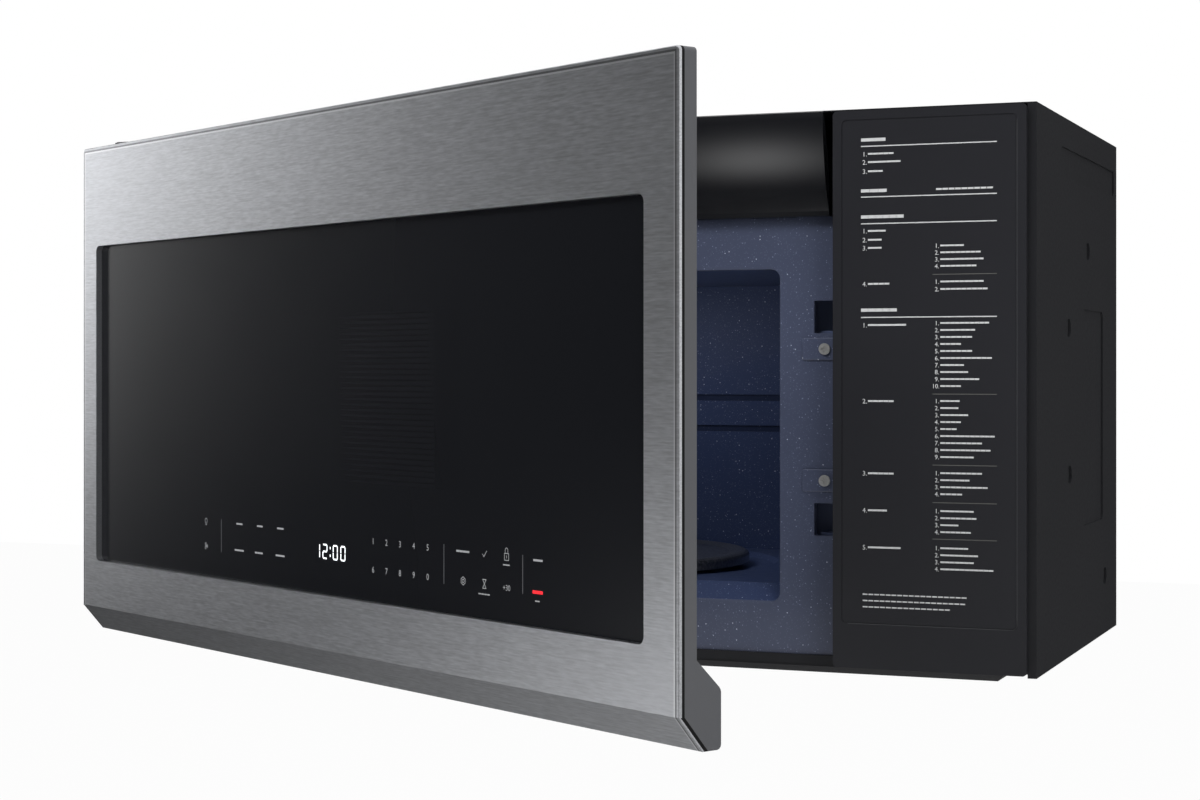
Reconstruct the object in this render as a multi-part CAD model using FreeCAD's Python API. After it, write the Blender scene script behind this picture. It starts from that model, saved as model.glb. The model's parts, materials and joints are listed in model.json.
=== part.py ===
"""Over the range microwave oven with a full-width, side-hinged door.

Millimetres.  X runs to the right seen from the front, Y runs into the wall (the front of the
oven faces -Y) and Z is up.  The origin is the middle of the back face, where the oven bears on
its wall plate.  The door is drawn shut and then swung to the resting angle of the door joint.
"""
import FreeCAD, Part
import math
import os

V = FreeCAD.Vector

# ---------------------------------------------------------------- cabinet
WIDTH = 759.0                 # outside of the two side sheets
HEIGHT = 404.0                # base edge to top sheet
PANEL_DEPTH = 356.0           # wall to the front of the fixed right-hand panel
SHEET = 1.0                   # case steel
FLANGE_SETBACK = 4.0          # case front edge behind the panel front
FRAME_SETBACK = 26.0          # enamel front plate behind the panel front
FRAME_T = 2.0
FRAME_TOP = 75.5              # case top down to the top edge of the enamel front plate
FRAME_BOTTOM = 6.5            # base edge up to the lower edge of the enamel front plate
BELT_HIGH = 22.0              # case top down to the long pressing of each side
BELT_LOW = 43.0
BELT_FRONT = 100.0            # panel front to the long pressing
BELT_BACK = 13.0
BELT_R = 5.0
TALL_DROP = 141.0             # case top down to the tall pressing
TALL_FOOT = 94.0              # base edge up to it
TALL_FRONT = 194.0
TALL_BACK = 70.0
TALL_R = 6.0
DIMPLE_W = 16.0               # screw dimples of the sides
DIMPLE_H = 14.0
DIMPLE_R = 6.5
DIMPLE_D = 2.0
SEAT_GAP = 0.3                # piece that rests on another body
SLIP = 0.05                   # radial running clearance of a shaft in its bore

# ---------------------------------------------------------------- cavity
MOUTH_LEFT = 94.5             # case side to the mouth of the cooking cavity
MOUTH_RIGHT = 48.2            # mouth to the fixed right-hand panel
OPEN_TOP = 113.5              # case top down to the mouth
OPEN_FOOT = 44.5              # base edge up to the mouth
CORNER_R = 7.0
BACK_GAP = 12.0               # air behind the cavity back wall
SILL_RISE = 7.5               # mouth up to the cavity floor
SILL_RUN = 18.0
DISH_R = 172.0                # round dish pressed into the floor under the tray
DISH_RISE = 4.0               # dish up to the floor's two ends
DISH_RUN = 4.0                # slope of the dish wall, measured across
MOUTH_ROLL = 1.0              # rounding of the plate's edge round the mouth
RIB_H = 5.5                   # the two pressed ribs of the back wall
RIB_DEPTH = 2.0
RIB_TOP_DROP = 97.0           # mouth top down to the upper rib
RIB_PITCH = 27.5
RIB_MARGIN = 25.0             # cavity wall to the end of a rib

# ---------------------------------------------------------------- turntable
TRAY_GAP = 6.5                # tray rim to the cavity's front and back
TRAY_RIM = 16.0               # flared rim outside the flat
TRAY_T = 3.0
TRAY_RISE = 5.0               # crest of the rim above the underside of the flat
TRAY_LIP = 4.0                # rolled lip below the underside of the flat
ROLLER_R = 3.7
ROLLER_LEN = 8.0
ROLLER_PITCH_R = 95.0
AXLE_R = 1.4
RING_W = 5.0
RING_T = 3.4
RING_ARM = 7.0                # ring edge to roller
COUPLER_R = 14.0
DRIVE_SHAFT_R = 3.5
FLOOR_HOLE_R = 6.0
MOTOR_R = 25.0
MOTOR_H = 15.0

# ---------------------------------------------------------------- right-hand panel and vent
PANEL_W = 140.0
PANEL_INSET = 6.3             # case side to the panel's right edge
PANEL_WALL = 2.5
PANEL_TOP_GAP = 1.5
PANEL_FOOT = 1.7
PANEL_R = 3.0
LINE_MARGIN = 6.5             # engraved outline, in from the panel edge
LINE_FOOT = 32.0
LINE_W = 0.9
LINE_DEPTH = 0.4
VENT_GAP = 7.4                # dark joint between the vent deflector and the panel
VENT_STEP = 3.5               # top edge of the enamel plate up to the foot of the curve
VENT_LEAN = 16.0              # foot of the curve behind its top
VENT_BOW = 5.5
VENT_T = 2.0
VENT_SLOTS = 12
VENT_SLOT_W = 34.0
VENT_SLOT_PITCH = 47.0

# ---------------------------------------------------------------- door
DOOR_TOP_GAP = 7.0            # case top down to the door top
DOOR_FOOT_GAP = 3.0           # base edge up to the end of the lip
LIP_DROP = 20.5               # slanted lip under the face
LIP_RUN = 17.3
DOOR_FRONT = 34.0             # door face ahead of the panel front, door shut
SKIN = 1.0
SKIN_WRAP = 2.5
SKIN_R = 3.0
SEAM = 0.8                    # black joint behind the steel edge
EDGE_DEPTH = 13.0             # steel face to the back of the thin door edge
FRAME_WALL = 1.0
FRAME_FLANGE = 9.0
GLASS_SETBACK = 5.0
GLASS_T = 4.0
GLASS_LAP = 6.0
GLASS_LEFT = 24.0             # steel margins round the glass
GLASS_RIGHT = 31.0
GLASS_TOP = 80.5
GLASS_BOTTOM = 37.5
TRAY_PLATE = 3.0
WINDOW_LEFT = 109.0           # see-through window, from the door's left edge
WINDOW_RIGHT = 222.0          # and from its right edge
WINDOW_TOP = 142.0            # door top down to the window
WINDOW_FOOT = 78.5            # lower edge of the glass up to the window
CHOKE_LAP = 15.0              # choke frame past the cavity mouth
CHOKE_T = 1.2
CHOKE_GAP = 1.0               # choke face off the enamel plate, door shut
COVER_W = 7.0
COVER_D = 14.0
SCREEN_LAP = 8.0              # slotted screen past the window
SCREEN_PITCH = 4.0
SCREEN_SLOT = 1.6
SCREEN_WEB = 4.0
SCREEN_COLS = 6
GRIP_DEPTH = 31.0
GRIP_TOP = 31.0               # fold of the face up to the top of the grip
GRIP_SLOPE = 17.5
GRIP_WALL = 1.8
GRIP_LINING = 1.4             # plastic behind the steel lip, measured across the door
GRIP_START = 18.0             # full grip depth begins this far from the hinge edge
CONTROL_LEFT = 190.0          # touch board, from the door's left edge
CONTROL_W = 450.0
CONTROL_FOOT = 11.0           # lower edge of the glass up to the touch board
CONTROL_H = 39.0
BOARD_T = 1.6
DISPLAY_LEFT = 350.0
DISPLAY_W = 61.4
DISPLAY_DROP = 5.0
DISPLAY_H = 20.5
DISPLAY_D = 8.0

# ---------------------------------------------------------------- hinge and latch
REST_OPEN = 30.0              # degrees the door stands open as drawn
PIN_IN = 26.0                 # hinge pin in from the case side
PIN_BEHIND = 47.0             # hinge pin behind the door face
PIN_R = 4.0
ARM_T = 3.0
ARM_HALF = 12.0
ARM_EDGE = 5.0
BOSS_R = 7.0
TONGUE_R = 9.0
TONGUE_T = 2.5
BRACKET_W = 30.0
BRACKET_H = 24.0
UPPER_HINGE = 110.0           # case top down to the upper bracket tongue
LOWER_HINGE = 74.0            # base edge up to the lower bracket tongue
LATCH_X_IN = 13.0             # hooks left of the panel edge
LATCH_SLOT_W = 17.0
LATCH_SLOT_H = 24.0
SLOT_FLANGE = 5.0             # sheet turned in round each latch slot
LATCH_UPPER = 149.0           # case top down to the middle of the upper slot
LATCH_LOWER = 106.0           # base edge up to the middle of the lower slot
HOOK_T = 4.0
HOOK_H = 8.0
HOOK_NOSE = 5.0
HOOK_REACH = 18.0             # past the enamel plate's face
LATCH_LIFT = 3.0
HOUSING_W = 22.5
HOUSING_T = 1.5
HOUSING_BACK = 45.0           # door face to the back of the latch housing
EMBOSS_LEFT = 17.5            # screw pad, left of its screw
EMBOSS_GAP = 0.5              # screw pad off the panel edge
EMBOSS_H = 16.5
EMBOSS_D = 1.5
EMBOSS_ROLL = 0.7             # rounding of the pad's front edge
SCREW_UPPER = 172.6           # case top down to the upper pad screw
SCREW_LOWER = 134.7           # base edge up to the lower pad screw
SCREW_HEAD_R = 4.2
SCREW_R = 2.0

# ---------------------------------------------------------------- base, filters and lamps
BUMP_DROP = 8.0
BUMP_SIDE = 29.5              # case side to the pressed base pan
BUMP_FRONT = 8.0
BUMP_BACK = 46.0
BUMP_CHAMFER = 5.0
FILTER_W = 127.0
FILTER_T = 8.0
FILTER_LEDGE = 6.0
FILTER_SIDE = 41.5            # side of the pressed pan to the filter
FILTER_TRAVEL = 12.0
FILTER_FRONT = 70.0
FILTER_BACK = 21.0            # filter's seat to the back of the pressed pan
MESH_T = 1.0
LENS_W = 80.0
LENS_L = 42.0
LENS_T = 3.0
LENS_SIDE = 36.5              # filter to the lamp hole
LENS_LAP = 4.0
LENS_FRONT = 20.0
LAMP_H = 22.0
LAMP_WALL = 2.0

SHELF_UP = 13.0               # component shelf above the base sheet
SHELF_FRONT = 4.0
SHELF_BACK = 20.0

# ---------------------------------------------------------------- air, power and fixings
DUCT_W = 254.0
DUCT_L = 83.0
DUCT_H = 20.0
DUCT_BACK = 34.0              # wall to the duct collar
COLLAR_T = 1.2
FLAP_T = 1.5
FLAP_GAP = 2.0
WHEEL_R = 36.0
WHEEL_LEN = 84.0
WHEEL_BLADES = 18
WHEEL_GAP = 5.0
SHAFT_R = 4.0
VENT_MOTOR_R = 29.0
VENT_MOTOR_L = 64.0
HOUSE_WALL = 3.0
COOL_R = 42.0
COOL_BLADES = 5
COOL_SIDE = 89.5              # case side to the cooling fan's shaft
COOL_DROP = 92.0              # case top down to the cooling fan's shaft
BOLT_R = 3.2                  # thread of the two bolts down through the wall cabinet
BOLT_SIDE = 79.5              # case side to each bolt
BOLT_BACK = 250.0
NUT_R = 9.0
NUT_T = 8.0
CORD_SIDE = 49.5              # case side to the cord bushing
CORD_BACK = 40.0
CORD_R = 11.0
CORD_BORE = 5.0
HOOK_SLOT_W = 30.0
HOOK_SLOT_H = 6.0
HOOK_SLOT_X = 180.0
HOOK_SLOT_UP = 22.0
CASE_SCREW_R = 4.0
CASE_SCREW_HEAD = 1.6
CASE_DISH = 2.0               # dished seat that keeps each head behind the back face

# ---------------------------------------------------------------- microwave generator
PORT_W = 70.0                 # waveguide port in the cavity wall
PORT_H = 40.0
PORT_DROP = 48.5              # mouth top down to the port
PORT_COVER_LAP = 8.0          # mica cover past the port, up and down
PORT_COVER_SIDE = 13.0        # and to either side
GUIDE_D = 36.0                # cavity wall to the magnetron
GUIDE_LAP = 5.0               # waveguide past its port
GUIDE_SIDE = 10.0
GUIDE_RISE = 21.5             # waveguide above the mouth top
MAGNETRON_L = 75.0
MAGNETRON_W = 80.0
MAGNETRON_H = 76.0
MAGNETRON_DROP = 10.5         # mouth top down to the magnetron's axis
YOKE_T = 3.0
FIN_T = 1.0
FIN_PITCH = 6.4
FINS = 10
CORE_R = 20.0
ANTENNA_R = 9.0
ANTENNA_L = 24.0
CHOKE_BOX_L = 21.0            # filter box on the magnetron's foot
CHOKE_BOX = 52.0
CORE_SIDE = 40.0              # cavity wall to the transformer core
CORE_FRONT = 100.0            # enamel plate to the transformer core
CORE_W = 100.0
CORE_L = 62.0
CORE_H = 84.0
COIL_WINDOW = 12.0
COIL_OVER = 10.0              # coil past the core
CAN_SIDE = 55.0               # cavity wall to the capacitor
CAN_BACK = 76.0               # wall to the capacitor
CAN_W = 54.0
CAN_L = 34.0
CAN_H = 88.0
POWER_FOOT = 82.0             # base edge up to the power board
POWER_DROP = 142.0            # case top down to the power board
POWER_LEFT = 20.0
POWER_RIGHT = 12.0
POWER_BACK = 20.0
BULB_SIDE = 60.0              # mouth's right edge to the cavity lamp
BULB_BACK = 220.0
BULB_R = 13.0
BULB_H = 30.0

# ---------------------------------------------------------------- places worked out from the sizes
HALF = WIDTH / 2
TOP = HEIGHT / 2
BASE = -HEIGHT / 2
Y_PANEL = -PANEL_DEPTH
Y_FLANGE = Y_PANEL + FLANGE_SETBACK
Y_FRAME = Y_PANEL + FRAME_SETBACK
Y_CASE_LEFT = Y_FRAME - FRAME_T
Z_FRAME_TOP = TOP - FRAME_TOP
Z_FRAME_LOW = BASE + FRAME_BOTTOM
PANEL_R_X = HALF - PANEL_INSET
PANEL_L_X = PANEL_R_X - PANEL_W
MOUTH_L = -HALF + MOUTH_LEFT
MOUTH_R = PANEL_L_X - MOUTH_RIGHT
MOUTH_TOP = TOP - OPEN_TOP
MOUTH_LOW = BASE + OPEN_FOOT
CAVITY_X = (MOUTH_L + MOUTH_R) / 2
FLOOR = MOUTH_LOW + SILL_RISE
Y_BACK = -BACK_GAP - SHEET
Y_MOUTH = Y_FRAME + FRAME_T
TABLE_Y = (Y_FRAME + Y_BACK) / 2
TRAY_R = (Y_BACK - Y_FRAME) / 2 - TRAY_GAP
TRAY_FLAT_R = TRAY_R - TRAY_RIM
AXLE_Z = FLOOR + SEAT_GAP + ROLLER_R
TRAY_Z = AXLE_Z + ROLLER_R + SEAT_GAP
PANEL_TOP_Z = TOP - PANEL_TOP_GAP
PANEL_LOW_Z = BASE + PANEL_FOOT
Y_DOOR = Y_PANEL - DOOR_FRONT
DOOR_TOP = TOP - DOOR_TOP_GAP
LIP_END = BASE + DOOR_FOOT_GAP
FOLD = LIP_END + LIP_DROP
PIN_X = -HALF + PIN_IN
PIN_Y = Y_DOOR + PIN_BEHIND
GLASS_L = -HALF + GLASS_LEFT
GLASS_R = HALF - GLASS_RIGHT
GLASS_HI = DOOR_TOP - GLASS_TOP
GLASS_LO = FOLD + GLASS_BOTTOM
WIN_L = -HALF + WINDOW_LEFT
WIN_R = HALF - WINDOW_RIGHT
WIN_HI = DOOR_TOP - WINDOW_TOP
WIN_LO = GLASS_LO + WINDOW_FOOT
BOARD_L = -HALF + CONTROL_LEFT
BOARD_HI = GLASS_LO + CONTROL_FOOT + CONTROL_H
TRAY_D = GLASS_SETBACK + GLASS_T
BACK_D = TRAY_D + TRAY_PLATE
CHOKE_D = DOOR_FRONT + FRAME_SETBACK - CHOKE_GAP
GRIP_HI = FOLD + GRIP_TOP
HOOK_X = PANEL_L_X - LATCH_X_IN
HOOK_ZS = (TOP - LATCH_UPPER, BASE + LATCH_LOWER)
SCREW_ZS = (TOP - SCREW_UPPER, BASE + SCREW_LOWER)
BUMP_LOW = BASE - BUMP_DROP
BUMP_R_X = HALF - BUMP_SIDE
FILTER_Y = Y_FRAME + FILTER_FRONT
FILTER_L = -BUMP_BACK - FILTER_BACK - FILTER_Y
FILTER_X = BUMP_R_X - FILTER_SIDE - FILTER_W / 2
LENS_X = FILTER_X - FILTER_W / 2 - LENS_SIDE - LENS_W / 2
COOL_X = HALF - COOL_SIDE
COOL_Z = TOP - COOL_DROP
BOLT_X = HALF - BOLT_SIDE
CORD_X = HALF - CORD_SIDE
PORT_HI = MOUTH_TOP - PORT_DROP
MAGNETRON_Z = MOUTH_TOP - MAGNETRON_DROP
BLOWER_Z = (MOUTH_TOP + TOP) / 2
BLOWER_Y = -DUCT_BACK - DUCT_L / 2
HOUSE_R = WHEEL_R + WHEEL_GAP


# ---------------------------------------------------------------- shape helpers
def box(x0, x1, y0, y1, z0, z1):
    """A block between two corners."""
    return Part.makeBox(x1 - x0, y1 - y0, z1 - z0, V(x0, y0, z0))


def cyl(radius, length, base, axis):
    """A round bar from a base point along an axis."""
    return Part.makeCylinder(radius, length, V(*base), V(*axis))


def rounded(x0, x1, y0, y1, z0, z1, axis, radius):
    """A block with its four edges along one axis rounded."""
    solid = box(x0, x1, y0, y1, z0, z1)
    along = V(*axis)
    edges = [e for e in solid.Edges if abs(e.tangentAt(e.FirstParameter).dot(along)) > 0.99]
    return solid.makeFillet(radius, edges)


def prism_x(points, x0, x1):
    """A (y, z) outline drawn out along X."""
    wire = Part.makePolygon([V(x0, y, z) for y, z in points + points[:1]])
    return Part.Face(wire).extrude(V(x1 - x0, 0, 0))


def holed_plate(outline, holes, axis):
    """One flat face with holes, given as wires, drawn out along an axis."""
    return Part.makeFace([outline] + holes, "Part::FaceMakerBullseye").extrude(V(*axis))


def rect_wire_xy(x0, x1, y0, y1, z):
    return Part.makePolygon([V(x0, y0, z), V(x1, y0, z), V(x1, y1, z), V(x0, y1, z), V(x0, y0, z)])


def rect_wire_xz(x0, x1, z0, z1, y):
    return Part.makePolygon([V(x0, y, z0), V(x1, y, z0), V(x1, y, z1), V(x0, y, z1), V(x0, y, z0)])


def turned(profile, centre):
    """An (r, z) outline turned about a vertical axis through centre (x, y)."""
    wire = Part.makePolygon([V(r, 0, z) for r, z in profile + profile[:1]])
    solid = Part.Face(wire).revolve(V(0, 0, 0), V(0, 0, 1), 360)
    solid.translate(V(centre[0], centre[1], 0))
    return solid


def fused(first, others):
    """One solid from pieces that share volume or faces."""
    return first.multiFuse(others).removeSplitter()


def door_y(depth):
    """Y of a plane this far behind the door face, door shut."""
    return Y_DOOR + depth


def door_box(x0, x1, d0, d1, z0, z1):
    """A block of the shut door, by depth behind its face."""
    return box(x0, x1, door_y(d0), door_y(d1), z0, z1)


def door_prism(points, x0, x1):
    """A (depth, z) outline of the shut door drawn out along X."""
    return prism_x([(door_y(d), z) for d, z in points], x0, x1)


def swung(shape):
    """The shut door's piece turned about the hinge pins to the resting angle."""
    return shape.rotated(V(PIN_X, PIN_Y, 0), V(0, 0, 1), -REST_OPEN)


# ---------------------------------------------------------------- cabinet pieces
def side_emboss(x_out, inward, y0, y1, z0, z1, radius, depth):
    """The tool pair of a pressing in a side sheet: the hollow and the pan behind it."""
    reach = inward * depth
    wall = inward * SHEET
    hollow = rounded(min(x_out, x_out + reach), max(x_out, x_out + reach),
                     y0, y1, z0, z1, (1, 0, 0), radius)
    xa, xb = sorted((x_out, x_out + reach + wall))
    pan = rounded(xa, xb, y0 - SHEET, y1 + SHEET, z0 - SHEET, z1 + SHEET,
                  (1, 0, 0), radius + SHEET)
    return hollow, pan


def side_pressings(x_out, inward):
    """Upper belt, tall panel and four screw dimples of one side, rear to front."""
    belt = side_emboss(x_out, inward, Y_PANEL + BELT_FRONT, -BELT_BACK, TOP - BELT_LOW,
                       TOP - BELT_HIGH, BELT_R, EMBOSS_D)
    tall = side_emboss(x_out, inward, Y_PANEL + TALL_FRONT, -TALL_BACK, BASE + TALL_FOOT,
                       TOP - TALL_DROP, TALL_R, EMBOSS_D)
    pairs = [belt, tall]
    for back, z in ((141.0, TOP - 95.0), (225.0, TOP - 156.5), (221.0, BASE + 137.0),
                    (59.5, BASE + 47.0)):
        pairs.append(side_emboss(x_out, inward, -back - DIMPLE_W / 2, -back + DIMPLE_W / 2,
                                 z - DIMPLE_H / 2, z + DIMPLE_H / 2, DIMPLE_R, DIMPLE_D))
    return pairs


def make_cabinet_wrap():
    """Bent case sheet: top and two sides, with the turned-in edge beside the panel."""
    top = box(-HALF, HALF, Y_FLANGE, 0, TOP - SHEET, TOP)
    left = box(-HALF, -HALF + SHEET, Y_FRAME, 0, BASE, TOP)
    ear = box(-HALF, -HALF + SHEET, Y_FLANGE, Y_FRAME, Z_FRAME_TOP, TOP)
    right = box(HALF - SHEET, HALF, Y_FLANGE, 0, BASE, TOP)
    flange = box(PANEL_R_X, HALF, Y_FLANGE, Y_FLANGE + SHEET, BASE, TOP)
    shell = fused(top, [left, ear, right, flange])
    for x_out, inward in ((HALF, -1), (-HALF, 1)):
        for hollow, pan in side_pressings(x_out, inward):
            shell = shell.fuse(pan).cut(hollow)
    duct = box(-DUCT_W / 2 + COLLAR_T, DUCT_W / 2 - COLLAR_T, -DUCT_BACK - DUCT_L + COLLAR_T,
               -DUCT_BACK - COLLAR_T, TOP - 2 * SHEET, TOP + SHEET)
    shell = shell.cut(duct)
    for x in (-BOLT_X, BOLT_X):
        shell = shell.cut(cyl(BOLT_R, 4 * SHEET, (x, -BOLT_BACK, TOP - 2 * SHEET), (0, 0, 1)))
    cord = cyl(CORD_R, 4 * SHEET, (CORD_X, -CORD_BACK, TOP - 2 * SHEET), (0, 0, 1))
    return shell.cut(cord).removeSplitter()


def make_back_plate():
    """Back sheet that bears on the wall plate, with the two slots its hooks enter."""
    plate = box(-HALF + SHEET, HALF - SHEET, -SHEET, 0, BASE + SHEET, TOP - SHEET)
    z = BASE + HOOK_SLOT_UP
    r = HOOK_SLOT_H / 2
    for x in (-HOOK_SLOT_X, HOOK_SLOT_X):
        ends = (x - HOOK_SLOT_W / 2 + r, x + HOOK_SLOT_W / 2 - r)
        plate = plate.cut(box(ends[0], ends[1], -2 * SHEET, SHEET, z - r, z + r))
        for x_end in ends:
            plate = plate.cut(cyl(r, 3 * SHEET, (x_end, -2 * SHEET, z), (0, 1, 0)))
    for x, z in case_screw_places():
        r = CASE_SCREW_R + 2.0
        dish = cyl(r + SHEET, CASE_DISH + SHEET, (x, -CASE_DISH - SHEET, z), (0, 1, 0))
        plate = plate.fuse(dish).cut(cyl(r, CASE_DISH + SHEET, (x, -CASE_DISH, z), (0, 1, 0)))
        plate = plate.cut(cyl(SCREW_R + SLIP, 3 * SHEET, (x, -CASE_DISH - 2 * SHEET, z),
                              (0, 1, 0)))
    return plate.removeSplitter()


def case_screw_places():
    """Screws round the edge of the back sheet."""
    xs = (-HALF + 14.0, 0.0, HALF - 14.0)
    return [(x, TOP - 14.0) for x in xs] + [(x, BASE + 14.0) for x in xs]


def make_case_screws():
    """Six like pan-head screws through the back sheet."""
    screws = []
    for x, z in case_screw_places():
        head = cyl(CASE_SCREW_R, CASE_SCREW_HEAD, (x, -CASE_DISH, z), (0, 1, 0))
        screws.append(head.fuse(cyl(SCREW_R, 6.0, (x, -CASE_DISH - 6.0, z), (0, 1, 0))))
    return Part.makeCompound([s.removeSplitter() for s in screws])


def filter_opening(side):
    """Plan of the hole under one grease filter: x0, x1, y0, y1."""
    x = side * FILTER_X
    return (x - FILTER_W / 2 + FILTER_LEDGE, x + FILTER_W / 2 - FILTER_LEDGE,
            FILTER_Y + FILTER_LEDGE, FILTER_Y + FILTER_L - FILTER_LEDGE - FILTER_TRAVEL)


def make_base_pan():
    """Base sheet with its pressed pan, filter and lamp holes and the front upstand."""
    y_front = Y_FRAME - FRAME_T
    plate = box(-HALF + SHEET, HALF - SHEET, y_front, 0, BASE, BASE + SHEET)
    upstand = box(-HALF + SHEET, PANEL_L_X, y_front, y_front + SHEET, BASE, Z_FRAME_LOW)
    x1 = BUMP_R_X
    ya = Y_FRAME + BUMP_FRONT
    outer = box(-x1, x1, ya, -BUMP_BACK, BUMP_LOW, BASE + SHEET)
    rim = [e for e in outer.Edges if abs(e.CenterOfMass.z - BUMP_LOW) < 1e-6]
    outer = outer.makeChamfer(BUMP_CHAMFER, rim)
    inner = box(-x1 + SHEET, x1 - SHEET, ya + SHEET, -BUMP_BACK - SHEET,
                BUMP_LOW + SHEET, BASE + 2 * SHEET)
    rim = [e for e in inner.Edges if abs(e.CenterOfMass.z - BUMP_LOW - SHEET) < 1e-6]
    inner = inner.makeChamfer(BUMP_CHAMFER, rim)
    pan = fused(plate, [upstand, outer]).cut(inner)
    for side in (-1, 1):
        a, b, c, d = filter_opening(side)
        pan = pan.cut(rounded(a, b, c, d, BUMP_LOW - SHEET, BASE, (0, 0, 1), 4.0))
        x = side * LENS_X
        y = ya + LENS_FRONT
        pan = pan.cut(rounded(x - LENS_W / 2, x + LENS_W / 2, y, y + LENS_L,
                              BUMP_LOW - SHEET, BASE, (0, 0, 1), 5.0))
    return pan


def make_lamp_lenses():
    """Two like glass lenses that lie over the lamp holes of the base pan."""
    y = Y_FRAME + BUMP_FRONT + LENS_FRONT
    z = BUMP_LOW + SHEET
    lap = LENS_LAP
    lenses = [rounded(s * LENS_X - LENS_W / 2 - lap, s * LENS_X + LENS_W / 2 + lap,
                      y - lap, y + LENS_L + lap, z, z + LENS_T, (0, 0, 1), lap) for s in (-1, 1)]
    return Part.makeCompound(lenses)


def make_lamp_modules():
    """Two like lamp holders with their small boards above the lenses."""
    y = Y_FRAME + BUMP_FRONT + LENS_FRONT
    z = BUMP_LOW + SHEET + LENS_T
    modules = []
    for s in (-1, 1):
        x = s * LENS_X
        w = LAMP_WALL
        cup = rounded(x - LENS_W / 2, x + LENS_W / 2, y, y + LENS_L, z, z + LAMP_H, (0, 0, 1), 5.0)
        hollow = rounded(x - LENS_W / 2 + w, x + LENS_W / 2 - w, y + w, y + LENS_L - w,
                         z, z + LAMP_H - 3 * w, (0, 0, 1), 3.0)
        board = box(x - LENS_W / 4, x + LENS_W / 4, y + 5 * w, y + LENS_L - 5 * w,
                    z + LAMP_H - 3 * w - BOARD_T, z + LAMP_H - 3 * w)
        modules.append(cup.cut(hollow).fuse(board).removeSplitter())
    return Part.makeCompound(modules)


def make_front_frame():
    """Enamelled front plate with the cavity mouth, latch slots and screw pads."""
    x0 = -HALF + SHEET
    x1 = PANEL_L_X + 8.0
    plate = box(x0, x1, Y_FRAME, Y_FRAME + FRAME_T, Z_FRAME_LOW, Z_FRAME_TOP)
    mouth = rounded(MOUTH_L, MOUTH_R, Y_FRAME - 1.0, Y_MOUTH + 1.0, MOUTH_LOW, MOUTH_TOP,
                    (0, 1, 0), CORNER_R)
    plate = plate.cut(mouth)
    plate = plate.makeFillet(MOUTH_ROLL, front_edges(plate, Y_FRAME, MOUTH_L, MOUTH_R))
    for z in SCREW_ZS:
        pad = rounded(HOOK_X - EMBOSS_LEFT, PANEL_L_X - EMBOSS_GAP, Y_FRAME - EMBOSS_D, Y_FRAME,
                      z - EMBOSS_H / 2, z + EMBOSS_H / 2, (0, 1, 0), 2.0)
        pad = pad.makeFillet(EMBOSS_ROLL, front_edges(pad, Y_FRAME - EMBOSS_D, MOUTH_R, PANEL_L_X))
        hole = cyl(SCREW_R + SLIP, 3 * FRAME_T, (HOOK_X, Y_FRAME - FRAME_T, z), (0, 1, 0))
        plate = plate.fuse(pad).cut(hole)
    for z in HOOK_ZS:
        w, h, t = LATCH_SLOT_W / 2, LATCH_SLOT_H / 2, SHEET
        flange = rounded(HOOK_X - w - t, HOOK_X + w + t, Y_MOUTH, Y_MOUTH + SLOT_FLANGE,
                         z - h - t, z + h + t, (0, 1, 0), t)
        slot = rounded(HOOK_X - w, HOOK_X + w, Y_FRAME - 1.0, Y_MOUTH + SLOT_FLANGE + 1.0,
                       z - h, z + h, (0, 1, 0), 1.0)
        plate = plate.fuse(flange).cut(slot)
    return plate.removeSplitter()


def front_edges(solid, y, x0, x1):
    """Edges of a solid that lie in its front plane at y, between x0 and x1."""
    found = []
    for edge in solid.Edges:
        b = edge.BoundBox
        if abs(b.YMin - y) < 1e-6 and abs(b.YMax - y) < 1e-6:
            if b.XMin > x0 - 1e-3 and b.XMax < x1 + 1e-3:
                found.append(edge)
    return found


def liner_block(grow, rise):
    """The cavity's inner space with its floor raised, grown by a wall; open at the front."""
    low = FLOOR + rise - grow
    side = [(Y_MOUTH, MOUTH_TOP + grow), (Y_BACK + grow, MOUTH_TOP + grow), (Y_BACK + grow, low),
            (Y_MOUTH + SILL_RUN, low), (Y_MOUTH, MOUTH_LOW - grow)]
    return prism_x(side, MOUTH_L - grow, MOUTH_R + grow)


def make_cavity_liner():
    """Enamelled cavity: two ribs across its back wall, a dished floor and the drive hole."""
    spaces = []
    for grow in (SHEET, 0.0):
        r = DISH_R + grow
        deep = cyl(r, 4 * SILL_RISE, (CAVITY_X, TABLE_Y, FLOOR - grow - 4 * SILL_RISE), (0, 0, 1))
        slope = Part.makeCone(r, r + DISH_RUN, DISH_RISE, V(CAVITY_X, TABLE_Y, FLOOR - grow))
        dish = liner_block(grow, 0.0).common(deep.fuse(slope))
        spaces.append(liner_block(grow, DISH_RISE).fuse(dish))
    liner, inner = spaces
    ribs = []
    for drop in (RIB_TOP_DROP, RIB_TOP_DROP + RIB_PITCH):
        z = MOUTH_TOP - drop
        m = RIB_MARGIN
        liner = liner.fuse(box(MOUTH_L + m - SHEET, MOUTH_R - m + SHEET, Y_BACK,
                               Y_BACK + SHEET + RIB_DEPTH, z - RIB_H - SHEET, z + SHEET))
        ribs.append(box(MOUTH_L + m, MOUTH_R - m, Y_BACK - 1.0, Y_BACK + RIB_DEPTH,
                        z - RIB_H, z))
    liner = liner.cut(inner).cut(Part.makeCompound(ribs))
    hole = cyl(FLOOR_HOLE_R, 4 * SHEET, (CAVITY_X, TABLE_Y, FLOOR - 2 * SHEET), (0, 0, 1))
    port = box(MOUTH_R - SHEET, MOUTH_R + 2 * SHEET, TABLE_Y - PORT_W / 2, TABLE_Y + PORT_W / 2,
               PORT_HI - PORT_H, PORT_HI)
    return liner.cut(hole).cut(port).removeSplitter()


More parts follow.
